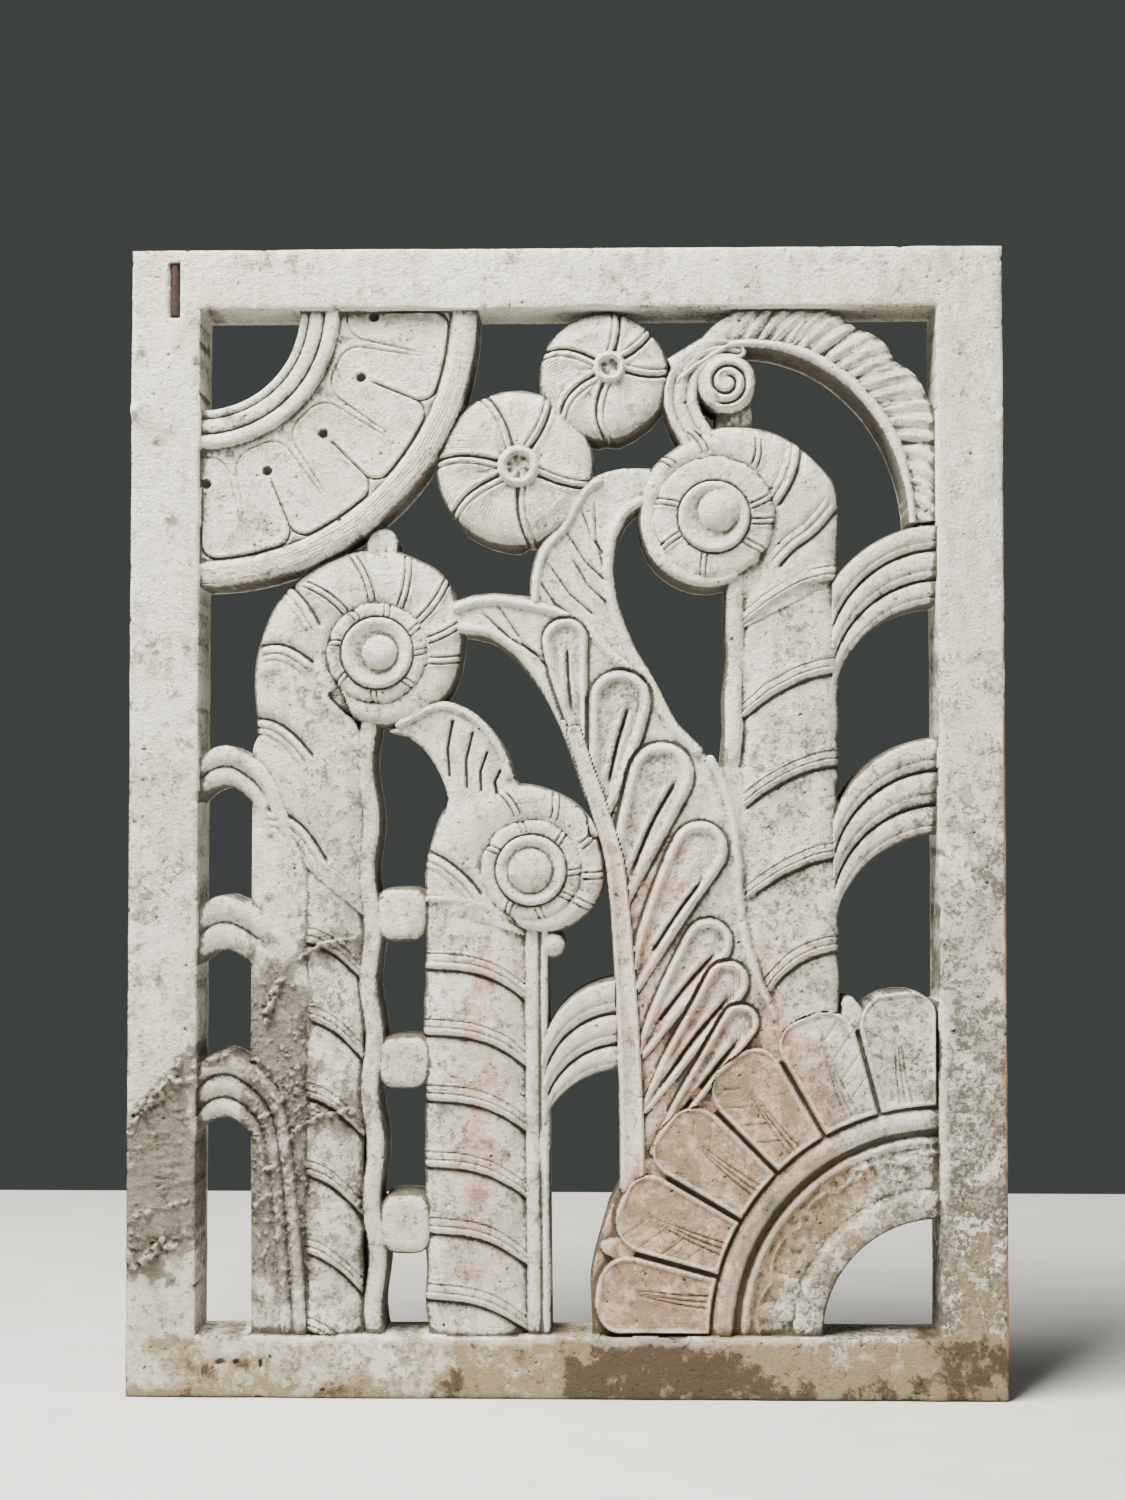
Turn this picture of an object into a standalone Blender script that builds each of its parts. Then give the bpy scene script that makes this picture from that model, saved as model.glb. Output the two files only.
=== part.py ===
"""Pierced Art Deco panel of cast concrete: a plain frame round curled ferns, flowers and two suns.

The pattern is drawn in millimetres, as seen from the front, with x across from the panel's middle
and z up from its underside. It is then fitted into the field that the frame leaves open. A depth
is how far a surface is sunk behind the face of the frame. Run with blender --background --python.
"""
import math

import bmesh
import bpy

# Sizes of the casting, in metres
PANEL_WIDTH = 0.610
PANEL_HEIGHT = 0.800
PANEL_THICKNESS = 0.050
LEFT_STILE = 0.048
RIGHT_STILE = 0.046
TOP_RAIL = 0.0425
BOTTOM_RAIL = 0.042
ARRIS = 0.0015

# The reinforcing rod that shows in the top left corner, and the broken slot that it lies in
ROD_DIAMETER = 0.0063
ROD_SHOWING = 0.037
ROD_SUNK = 0.0012
ROD_FROM_SIDE = 0.0298
ROD_FROM_TOP = 0.0280
SLOT_GAP = 0.0003

# The field that the pattern was drawn for, and how far its walls splay towards the back, in mm
DRAWN_LEFT = -257.0
DRAWN_RIGHT = 259.0
DRAWN_BOTTOM = 42.0
DRAWN_TOP = 757.5
SPLAY = 1.6
INTO_FRAME = 4.0
BEHIND = 5.0
SPARE = 2.0

MM = 0.001
FRONT = -PANEL_THICKNESS / 2
BACK = PANEL_THICKNESS / 2
FIELD_LEFT = -PANEL_WIDTH / 2 + LEFT_STILE
FIELD_RIGHT = PANEL_WIDTH / 2 - RIGHT_STILE
FIELD_BOTTOM = BOTTOM_RAIL
FIELD_TOP = PANEL_HEIGHT - TOP_RAIL
FOOT = PANEL_THICKNESS / MM + BEHIND

for old in list(bpy.data.objects):
    bpy.data.objects.remove(old, do_unlink=True)


def collection(name):
    """Make a collection in the scene."""
    made = bpy.data.collections.new(name)
    bpy.context.scene.collection.children.link(made)
    return made


PARTS = collection("cast_concrete_panel")
CARVING = collection("carving")
CUTS = collection("cuts")


# Placing the drawing in the field

def in_field(x, depth, z):
    """Place a point of the drawing in the open field inside the frame."""
    across = (x - DRAWN_LEFT) / (DRAWN_RIGHT - DRAWN_LEFT)
    up = (z - DRAWN_BOTTOM) / (DRAWN_TOP - DRAWN_BOTTOM)
    return (FIELD_LEFT + across * (FIELD_RIGHT - FIELD_LEFT),
            FRONT + depth * MM,
            FIELD_BOTTOM + up * (FIELD_TOP - FIELD_BOTTOM))


def object_from(mesh, name, home):
    """Turn a bmesh drawn in millimetres into an object; guides and cutters stay out of renders."""
    for vert in mesh.verts:
        vert.co = in_field(*vert.co)
    bmesh.ops.triangulate(mesh, faces=[face for face in mesh.faces if len(face.verts) == 4])
    bmesh.ops.recalc_face_normals(mesh, faces=mesh.faces)
    if mesh.calc_volume(signed=True) < 0:
        bmesh.ops.reverse_faces(mesh, faces=mesh.faces)
    data = bpy.data.meshes.new(name)
    mesh.to_mesh(data)
    mesh.free()
    made = bpy.data.objects.new(name, data)
    home.objects.link(made)
    if home is not PARTS:
        made.hide_render = True
        made.display_type = "WIRE"
    return made


# Curves

def smooth(points, each=4):
    """A smooth open curve through the points, with so many steps from each point to the next."""
    ends = [points[0]] + list(points) + [points[-1]]
    curve = []
    for before, start, end, after in zip(ends, ends[1:], ends[2:], ends[3:]):
        for step in range(each):
            t = step / each
            curve.append(tuple(
                0.5 * (2 * b + (c - a) * t + (2 * a - 5 * b + 4 * c - d) * t * t
                       + (3 * b - a - 3 * c + d) * t ** 3)
                for a, b, c, d in zip(before, start, end, after)))
    curve.append(tuple(points[-1]))
    return curve


def polar(centre, radius, degrees):
    """The point at a radius and an angle, counted from +x towards +z."""
    turn = math.radians(degrees)
    return centre[0] + radius * math.cos(turn), centre[1] + radius * math.sin(turn)


def arc(centre, radius, start, end, steps):
    """Points along an arc from one angle to another."""
    return [polar(centre, radius, start + (end - start) * step / steps) for step in range(steps + 1)]


def hanging_arc(top, foot, steps=7):
    """Points of an arc that leaves the point top level and comes down to the point foot."""
    across = abs(top[0] - foot[0])
    drop = top[1] - foot[1]
    radius = (across ** 2 + drop ** 2) / (2 * drop)
    side = math.copysign(1, foot[0] - top[0])
    reach = math.asin(min(1.0, across / radius))
    if drop > radius:
        reach = math.pi - reach
    return [(top[0] + side * radius * math.sin(reach * step / steps),
             top[1] - radius * (1 - math.cos(reach * step / steps))) for step in range(steps + 1)]


def along(path, share):
    """The point at a share of the way along a list of points."""
    place = share * (len(path) - 1)
    first = min(int(place), len(path) - 2)
    rest = place - first
    return tuple(a + (b - a) * rest for a, b in zip(path[first], path[first + 1]))


def sideways(path):
    """The unit vectors to the left of a path, one at each of its points."""
    out = []
    for index in range(len(path)):
        a = path[max(index - 1, 0)]
        b = path[min(index + 1, len(path) - 1)]
        length = math.hypot(b[0] - a[0], b[1] - a[1])
        out.append((-(b[1] - a[1]) / length, (b[0] - a[0]) / length))
    return out


# Bodies

def foot_depth():
    """Where the next body ends behind the back; no two bodies end level."""
    return FOOT + 0.05 * len(CARVING.objects)


def loft(name, rows):
    """A body whose top runs over rows of (x, z, depth) points, carried straight back."""
    mesh = bmesh.new()
    tops = []
    feet = []
    deep = foot_depth()
    for row in rows:
        tops.append([mesh.verts.new((x, depth, z)) for x, z, depth in row])
        feet.append([(x, z) for x, z, depth in row])
    for end, inner in ((0, 1), (-1, -2)):
        edge = [row[end][:2] for row in rows]
        for index, (row, side) in enumerate(zip(rows, sideways(edge))):
            outward = (row[end][0] - row[inner][0]) * side[0] + (row[end][1] - row[inner][1]) * side[1]
            splay = math.copysign(SPLAY, outward)
            feet[index][end] = (row[end][0] + splay * side[0], row[end][1] + splay * side[1])
    feet = [[mesh.verts.new((x, deep, z)) for x, z in foot] for foot in feet]
    for a, b, c, d in zip(tops, tops[1:], feet, feet[1:]):
        for j in range(len(a) - 1):
            mesh.faces.new((a[j], a[j + 1], b[j + 1], b[j]))
            mesh.faces.new((c[j], d[j], d[j + 1], c[j + 1]))
        mesh.faces.new((a[0], b[0], d[0], c[0]))
        mesh.faces.new((a[-1], c[-1], d[-1], b[-1]))
    for top, foot in ((tops[0], feet[0]), (tops[-1], feet[-1])):
        for j in range(len(top) - 1):
            mesh.faces.new((top[j], foot[j], foot[j + 1], top[j + 1]))
    return object_from(mesh, name, CARVING)


def band(name, path, half_width, section):
    """A moulding along a path; its section is a list of (share of the half width, depth)."""
    rows = []
    count = len(path) - 1
    for index, (point, side) in enumerate(zip(path, sideways(path))):
        wide = half_width(index / count) if callable(half_width) else half_width
        rows.append([(point[0] + side[0] * wide * share, point[1] + side[1] * wide * share, depth)
                     for share, depth in section])
    return loft(name, rows)


def between(name, curves, section, rows=6, sink=0.0):
    """Ribs that fill the spaces between curves, each rib a step lower than the last.

    The section of the first rib is (share across, depth); sink is how far the far end goes down.
    """
    made = []
    for row in range(rows + 1):
        points = [along(curve, row / rows) for curve in curves]
        line = []
        for rib, (a, b) in enumerate(zip(points, points[1:])):
            for share, depth in section if rib == 0 else section[1:]:
                line.append((a[0] + (b[0] - a[0]) * share, a[1] + (b[1] - a[1]) * share,
                             depth + RIB_STEP * rib + sink * (row / rows) ** 3))
        made.append(line)
    return loft(name, made)


def sector(name, centre, profile, start, end, steps):
    """Part of a turned moulding; its profile is a list of (radius, depth)."""
    rows = []
    for step in range(steps + 1):
        angle = start + (end - start) * step / steps
        rows.append([polar(centre, radius, angle) + (depth,) for radius, depth in profile])
    return loft(name, rows)


def turned(name, centre, profile, steps=28):
    """A round body: a profile of (radius, depth) from its middle outwards, spun about its middle."""
    mesh = bmesh.new()
    rim = profile[-1][0] + SPLAY
    deep = foot_depth()
    line = list(profile) + [(rim, deep), (0.0, deep)]
    verts = [mesh.verts.new((centre[0] + radius, depth, centre[1])) for radius, depth in line]
    edges = [mesh.edges.new(pair) for pair in zip(verts, verts[1:])]
    bmesh.ops.spin(mesh, geom=verts + edges, cent=(centre[0], 0, centre[1]), axis=(0, 1, 0),
                   dvec=(0, 0, 0), angle=2 * math.pi, steps=steps, use_merge=True)
    bmesh.ops.remove_doubles(mesh, verts=mesh.verts, dist=0.001)
    return object_from(mesh, name, CARVING)


def plate(name, outline, depth, ease=1.5):
    """A flat body with a closed outline, its front edge eased and its sides splayed."""
    mesh = bmesh.new()
    loop = list(outline)
    area = sum(a[0] * b[1] - b[0] * a[1] for a, b in zip(loop, loop[1:] + loop[:1]))
    if area < 0:
        loop.reverse()
    count = len(loop)
    outward = []
    for index in range(count):
        before = loop[index - 1]
        after = loop[(index + 1) % count]
        length = math.hypot(after[0] - before[0], after[1] - before[1])
        outward.append(((after[1] - before[1]) / length, -(after[0] - before[0]) / length))
    rings = []
    for offset, sunk in ((-ease, depth), (0.0, depth + ease), (SPLAY, foot_depth())):
        rings.append([mesh.verts.new((x + n[0] * offset, sunk, z + n[1] * offset))
                      for (x, z), n in zip(loop, outward)])
    for upper, lower in zip(rings, rings[1:]):
        for i in range(count):
            j = (i + 1) % count
            mesh.faces.new((upper[i], upper[j], lower[j], lower[i]))
    mesh.faces.new(rings[0])
    mesh.faces.new(list(reversed(rings[-1])))
    return object_from(mesh, name, CARVING)


def ball(name, centre, radius, front, proud):
    """A ball that stands proud of what it sits on; front is the depth of its nearest point."""
    mesh = bmesh.new()
    bmesh.ops.create_uvsphere(mesh, u_segments=12, v_segments=6, radius=1.0)
    for vert in mesh.verts:
        vert.co = (centre[0] + vert.co.x * radius,
                   front + proud - vert.co.z * proud,
                   centre[1] + vert.co.y * radius)
    return object_from(mesh, name, CARVING)


def groove(path, half_width, floor, mouth=1.0):
    """Cut a V-shaped groove along a path, down to a depth; mouth is where its sides start."""
    mesh = bmesh.new()
    sections = []
    for point, side in zip(path, sideways(path)):
        sections.append([mesh.verts.new((point[0] + side[0] * half_width * share, depth,
                                         point[1] + side[1] * half_width * share))
                         for share, depth in ((-1.0, mouth), (0.0, floor), (1.0, mouth))])
    for a, b in zip(sections, sections[1:]):
        for i in range(3):
            j = (i + 1) % 3
            mesh.faces.new((a[i], a[j], b[j], b[i]))
    mesh.faces.new(sections[0])
    mesh.faces.new(list(reversed(sections[-1])))
    return object_from(mesh, "groove", CUTS)


def pit(centre, radius, floor):
    """Cut a small round hole, down to a depth."""
    mesh = bmesh.new()
    bmesh.ops.create_cone(mesh, cap_ends=True, segments=10, radius1=radius, radius2=radius, depth=1.0)
    for vert in mesh.verts:
        vert.co = (centre[0] + vert.co.x, floor * (0.5 - vert.co.z), centre[1] + vert.co.y)
    return object_from(mesh, "pit", CUTS)


# The rising quarter sun in the top left corner

def quarter_sun():
    centre = (DRAWN_LEFT, DRAWN_TOP)
    rays = 4
    sector("sun", centre,
           [(70, 6.5), (74.5, 5), (76, 7), (78, 4), (85.5, 4), (87, 6), (89, 2.5), (96.5, 2.5),
            (98.5, 7), (176, 7), (178.5, 3.5), (195.5, 6)],
           -93, 3, 11)
    for ray in range(rays + 1):
        angle = -90 * ray / rays
        clear = 2.0 * (1 if ray == rays else -1 if ray == 0 else 0)
        pit(polar(centre, 122, angle + clear), 3.4, 11)
        groove([polar(centre, 130, angle + clear), polar(centre, 170, angle + clear / 2)], 1.4, 9)
    for ray in range(rays):
        low = -90 * (ray + 1) / rays
        high = -90 * ray / rays
        rounded = [polar(centre, 168, low + 0.8), polar(centre, 173, low + 3.5)]
        rounded += arc(centre, 174.5, low + 6, high - 6, 2)
        rounded += [polar(centre, 173, high - 3.5), polar(centre, 168, high - 0.8)]
        groove(rounded, 1.2, 8.8)


# The fan of petals in the bottom right corner

def fan():
    centre = (DRAWN_RIGHT, DRAWN_BOTTOM)
    petals = 6
    wide = 90 / petals
    tip = 240
    sector("fan", centre,
           [(81, 8), (84, 4.5), (99, 4.5), (101.5, 8), (132, 8.5), (134, 6), (137, 6), (138.5, 10),
            (142.5, 10), (144.5, 4), (155, 4), (157.5, 8.5), (230, 9.5)],
           87, 183, 11)
    for petal in range(petals):
        middle = 90 + wide * (petal + 0.5)
        lean = 1 if petal % 2 else -1
        side = wide / 2 - 0.35
        outline = [polar(centre, 159, middle - side), polar(centre, 220, middle - side)]
        outline += [polar(centre, radius, middle + side * share)
                    for radius, share in ((231, -0.88), (237.5, -0.6), (tip, -0.1 * lean),
                                          (238, 0.55), (231, 0.88), (220, 1.0))]
        outline += [polar(centre, 159, middle + side)]
        plate("fan_petal", outline, 4.5)
        groove([polar(centre, 166, middle), polar(centre, 224, middle + 1.5 * lean)], 1.3, 6.4, 3)
    for dart in range(1, petals):
        angle = 90 + wide * dart
        plate("dart", [polar(centre, 214, angle - 1.9), polar(centre, 239, angle - 1.3),
                       polar(centre, 241, angle + 0.2), polar(centre, 238, angle + 1.6),
                       polar(centre, 215, angle + 2.1)], 7.4, 1.1)


# The two flowers and the scroll under the top rail

def flower(name, centre, radius, boss, boss_radius, partings, swirl):
    turned(name, centre, [(0, 6), (0.7 * radius, 4.5), (0.88 * radius, 7), (radius, 14)], 24)
    turned(name + "_boss", boss, [(0, 6), (0.6 * boss_radius, 6), (0.7 * boss_radius, 1.5),
                                  (0.9 * boss_radius, 1), (1.15 * boss_radius, 9)], 16)
    for angle in partings:
        line = []
        for step in range(3):
            out = boss_radius * 1.25 + (radius * 1.02 - boss_radius * 1.25) * step / 2
            x, z = polar(boss, out, angle + swirl * (step / 2) ** 2)
            line.append((x, min(z, DRAWN_TOP - 5 + step)))
        groove(line, 1.9, 9, 1)


def flowers():
    flower("upper_flower", (27, 711), 45.5, (31, 717), 9, (72, 30, -18, -112, 208, 152), 14)
    flower("lower_flower", (-35.5, 646), 55.5, (-33, 647), 12, (60, 107, 160, 210, 268, 335), 12)


def scroll():
    eye = (113.5, 708)
    turned("scroll", eye, [(0, 6), (9.5, 6), (11, 8), (13.5, 3.5), (18.5, 3.5), (20.5, 6.5)], 20)
    stem = smooth([(120, 728), (104, 728), (89, 719), (81.5, 704), (82, 688), (88, 674), (97, 664)], 1)
    band("scroll_stem", stem, lambda t: 5 + 5.5 * min(1, 2.5 * t),
         [(-1, 11), (-0.7, 6), (0, 8), (0.7, 6), (1, 9)])
    band("scroll_neck", [(119, 700), (119, 668)], 13.5, [(-1, 15), (-0.6, 12), (0.6, 12), (1, 15)])


# The feathered leaf that hooks over the top right corner

def hook_leaf():
    centre = (125, 600)
    wide, tall = 115, 130
    edge = [(3, 1.21), (10, 1.22), (17, 1.25), (24, 1.33), (28.5, 1.34), (33, 1.34), (36, 1.345),
            (39, 1.35), (42, 1.333), (45.3, 1.305), (48, 1.33), (51, 1.341), (54.4, 1.33), (57.8, 1.303),
            (62, 1.312), (67.4, 1.32), (75, 1.27), (84, 1.24), (92.9, 1.213), (98.7, 1.152),
            (103.4, 1.091), (109.5, 1.069), (116, 1.0525)]
    rows = []
    for index, (angle, reach) in enumerate(edge):
        turn = math.radians(angle)
        rib = 0.9 if index % 2 else 0.0
        inner = 1.0 if angle < 93 else 1.0 - 0.0045 * (angle - 93)
        row = []
        for share, depth in ((0, 9), (0.12, 4), (0.24, 7.5 + rib), (0.75, 5 + rib), (1, 9 + rib)):
            k = inner + (reach - inner) * share
            row.append((centre[0] + wide * k * math.cos(turn), centre[1] + tall * k * math.sin(turn), depth))
        rows.append(row)
    loft("hook_leaf", rows)


# The curled fern fronds: a column that turns over at its top round a rosette

def crook(name, eye, contour, inner, section, feet):
    """The turned-over top of a frond, from (angle, outer radius) pairs round its eye.

    feet are lines from its inner to its outer side, up from where it stands on its column.
    """
    rows = []
    for (ax, az), (bx, bz) in feet:
        rows.append([(ax + (bx - ax) * share, az + (bz - az) * share, depth) for share, depth in section])
    for angle, radius in contour:
        rows.append([polar(eye, inner + (radius - inner) * share, angle) + (depth,)
                     for share, depth in section])
    loft(name, rows)


def rosette(name, eye, saucer, disc, knob, knob_radius, creases):
    """The curled tip of a frond: a flat disc, a saucer on it, and a ball in the saucer.

    creases are (angle, inner radius, outer radius) of the grooves that part the curl.
    """
    turned(name + "_disc", eye, [(0, 3.5), (disc - 1.5, 3.2), (disc + 0.5, 8)], 20)
    turned(name + "_saucer", eye, [(0, 3), (saucer * 0.72, 2.8), (saucer * 0.85, 0.9), (saucer, 2.2)], 16)
    ball(name + "_ball", knob, knob_radius, 0.6, knob_radius * 0.75)
    for angle, start, end in creases:
        groove([polar(eye, start, angle), polar(eye, end, angle + 4)], 1.7, 7.6, 2)


CROOK_SECTION = [(0, 9), (0.2, 5.2), (0.6, 4.6), (0.88, 7), (1, 13)]


def scaled_column(name, left, right, sides, lines, fall, curve, section_depths):
    """A column of overlapping scales between two upright edges.

    lines are the heights of the dark joints; fall is how far each joint drops across the column,
    and curve is how late it drops. sides says at which edge the joint starts to fall.
    """
    step = lines[0] - lines[1]
    rows = []
    for line in lines:
        for above, drop in ((0.05, -0.6), (0.0, 3.2), (-0.4, 0.8)):
            row = []
            for share, depth in section_depths:
                over = share if sides == "left" else 1 - share
                lowest = DRAWN_BOTTOM - INTO_FRAME - 0.1 * (len(rows) + over)
                z = max(line + above * step - fall * over ** curve, lowest)
                x = left(z) + (right(z) - left(z)) * share
                row.append((x, z, depth + drop))
            rows.append(row)
    loft(name, rows)


def steady(value):
    """An upright edge that stays at one place."""
    return lambda z: value


def wave(path_top, path_bottom, height, swing):
    """The middle line of a wavy ribbon from one point down to another."""
    count = 12
    line = []
    for index in range(count + 1):
        t = index / count
        x = path_top[0] + (path_bottom[0] - path_top[0]) * t
        z = path_top[1] + (path_bottom[1] - path_top[1]) * t
        line.append((x + swing * math.sin(2 * math.pi * z / height), z))
    return line


RIBBON = [(-1, 12), (-0.6, 7.5), (0.6, 7.5), (1, 12)]


def right_frond():
    eye = (104, 611)
    contour = [(3, 88), (15, 88), (24, 84), (34, 80), (52, 74.5), (68, 69), (82, 65),
               (98, 61), (118, 56.5), (138, 56), (158, 54.5), (176, 53), (195, 53), (215, 53.5), (237, 52.5),
               (262, 51)]
    crook("right_crook", eye, contour, 40, CROOK_SECTION, [((124, 533), (190.5, 567))])
    rosette("right_rosette", eye, 25, 43.5, (108, 616), 16,
            [(14, 27, 44), (-6, 27, 44), (-40, 27, 44), (255, 27, 44), (98, 44, 60), (165, 27, 52)])
    column = [(0, 13), (0.08, 6), (0.5, 4), (0.92, 6), (1, 11)]
    joints = [565 - 64.5 * k for k in range(5)]
    scaled_column("right_column", lambda z: 121 + max(0, 330 - z) * 0.3, lambda z: 190.5,
                  "right", joints + [242.5], 34, 1.8, column)
    ribbon = smooth([(119, 566), (119, 530), (120, 510), (117.5, 485), (118, 462), (116, 440), (115, 415),
                     (118, 390), (119, 362), (122, 335), (130, 305), (132, 280), (131, 262)], 1)
    band("right_ribbon", ribbon, 7, RIBBON)
    plate("right_hub", [(100, 590), (108, 557), (124, 556), (145, 570), (130, 590)], 12)


def middle_frond():
    eye = (-24, 364)
    contour = [(178, 74), (162, 73), (146, 74.5), (128, 70), (110, 64), (98, 61.5), (76, 58), (53.5, 56.5),
               (35, 54), (18, 51.5), (0, 51.5), (-15, 52.5), (-27.5, 51.5), (-39, 50), (-53, 48.5), (-78, 45),
               (-98, 41.5), (-114, 39), (-131, 35)]
    crook("middle_crook", eye, contour, 32, CROOK_SECTION, [((-27, 318), (-98.5, 341))])
    rosette("middle_rosette", eye, 24.5, 36, (-25, 363.5), 17,
            [(-3, 26, 51), (-32, 26, 49), (262, 26, 42), (28, 30, 51), (100, 34, 62), (150, 36, 72)])
    column = [(0, 12), (0.1, 6), (0.45, 4), (0.86, 7.5), (1, 10.5)]
    joints = [340 - 45.8 * k for k in range(7)]
    scaled_column("middle_column", lambda z: -98.5 + 0.00018 * max(0, 250 - z) * 60, steady(-26),
                  "left", joints + [19.4], 24, 3, column)
    band("middle_strip", [(-20, 326), (-19.6, 200), (-18, 38)], 8.3,
         [(-1, 12), (-0.8, 7.5), (-0.4, 7.5), (-0.15, 10), (0.1, 7), (1, 8.5)])
    ball("strip_nub", (-9, 312), 9.5, 5, 9)
    turned("nub_stalk", (-11, 313), [(0, 9), (6, 9), (9, 12)], 14)


def left_frond():
    eye = (-133, 515)
    contour = [(194, 89), (180, 84.5), (168, 81.5), (154, 80), (140, 77.5), (120, 76), (103, 75.5), (80, 75),
               (67.6, 73.5), (54.4, 73.8), (41.6, 70.8), (27, 66), (14, 63), (0, 60), (-15, 59), (-29, 58.2),
               (-41, 56.7), (-58, 55), (-78, 51.7), (-98, 49.5), (-120, 46.5), (-141, 44)]
    crook("left_crook", eye, contour, 32, CROOK_SECTION,
          [((-141, 332), (-184, 368)), ((-141, 452), (-215, 440))])
    rosette("left_rosette", (-132, 516), 25, 36, (-130, 516), 13,
            [(0, 37, 58), (27, 37, 66), (68, 37, 73), (96, 37, 74), (135, 37, 76), (-94, 27, 49)])
    plate("bud", arc((-129, 594), 11, 0, 180, 6) + [(-141, 580), (-118, 580)], 9)
    column = [(0, 10), (0.12, 6), (0.45, 4.5), (0.85, 7), (1, 11)]
    joints = [312 - 54 * k for k in range(5)]
    scaled_column("left_column", steady(-181), steady(-141), "left", [366] + joints + [42], 28, 1.8, column)
    band("left_ground", [(-199, 445), (-199.5, 250), (-198, 36)], 21,
         [(-1, 13), (-0.8, 9), (0, 8), (1, 11)])
    band("left_ribbon", wave((-139.5, 466), (-131.5, 36), 76, 2.0), 6.8, RIBBON)


# The ribbed arches that spring from the stiles

RIB_STEP = 1.6
RIB = [(0, 9.5), (0.2, 4.5), (0.75, 5.5), (1, 10)]


def arch(name, side_x, tops, foot_x, feet):
    """Ribs between curves that leave a stile level and come down to a column."""
    curves = [hanging_arc((side_x, top), (foot_x, foot)) for top, foot in zip(tops, feet)]
    between(name, curves, RIB)


def arches():
    stile = DRAWN_RIGHT + INTO_FRAME
    arch("upper_right_arch", stile, (606, 588, 567, 549.5), 187, (566, 534, 508, 482))
    arch("lower_right_arch", stile, (457, 434, 410, 389), 187, (401, 374, 350, 318))
    arch("middle_arch", 40, (289, 265, 243, 225), -16, (228, 207, 184, 146))


def left_arches():
    stile = DRAWN_LEFT - INTO_FRAME
    for name, tops, reach, down, sink in (("first", (452, 437, 423), 40, 340, 6),
                                          ("second", (347, 328, 308.5), 60, 222, 6),
                                          ("third", (238, 222, 206, 191.5), 42, 36, 0)):
        curves = []
        for rib, top in enumerate(tops):
            spread = reach * (1 - rib / len(tops))
            curves.append([(stile, top - 14), (-250, top - 4), (-240, top - 0.5), (-230, top - 3),
                           (-221 + 0.25 * spread, top - 16), (-221 + 0.6 * spread, top - 40),
                           (-221 + 0.85 * spread, (top - 40 + down) / 2), (-221 + spread, down)])
        between(name + "_left_arch", curves, [(0, 8), (0.4, 5), (1, 9)], 9, sink)


# The blade between the left and middle rosettes, and the beads below it

def blade():
    outline = smooth([(-120, 463), (-108, 469), (-96, 478), (-83, 480.5), (-72, 478), (-60, 470), (-50, 458),
                      (-42, 444), (-37, 431), (-32, 422)], 2)
    outline += [(-30, 405), (-60, 392), (-85, 396)]
    outline += smooth([(-82, 414), (-86, 427), (-93, 440), (-102, 451), (-113, 458), (-124, 461)], 2)
    plate("blade", outline, 6.5)
    rim = [(-116, 466), (-104, 472), (-92, 478), (-80, 478), (-66, 471.5), (-54, 460), (-45, 446), (-39.5, 430)]
    band("blade_rim", rim, 3.2, [(-1, 9), (0, 4), (1, 9)])
    for top, foot in (((-79, 468), (-81, 430)), ((-65, 460), (-69, 422)), ((-55, 446), (-59, 420)),
                      ((-46, 433), (-48, 418))):
        groove([foot, ((top[0] + foot[0]) / 2 - 1.5, (top[1] + foot[1]) / 2), top], 2.2, 10, 5)


def beads():
    for x, z, tall in ((-115, 333, 19), (-113, 230, 18.5), (-111.5, 118, 21)):
        outline = [(x + 19 * math.copysign(abs(math.cos(t)) ** 0.45, math.cos(t)),
                    z + tall * math.copysign(abs(math.sin(t)) ** 0.75, math.sin(t)))
                   for t in (2 * math.pi * step / 16 for step in range(16))]
        plate("bead", outline, 8, 4.0)


# The great fern leaf in the middle, with its stem and its looped lobes

def lobe(spine, wide):
    """A raised lobe along a spine, with a round tip and a narrower foot."""
    tip = spine[-1]
    back = math.dist(spine[-2], tip)
    path = list(spine[:-1])
    widths = [0.6 * wide, 0.85 * wide, wide][:len(path)]
    for short in (0.6, 0.2, 0.04):
        path.append(along([tip, spine[-2]], min(0.9, short * wide / back)))
        widths.append(wide * math.sqrt(1 - (1 - short) ** 2))
    count = len(path) - 1
    band("lobe", path, lambda t: widths[round(t * count)],
         [(-1, 9.5), (-0.7, 5.2), (0, 6.5), (0.7, 5.2), (1, 9.5)])


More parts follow.
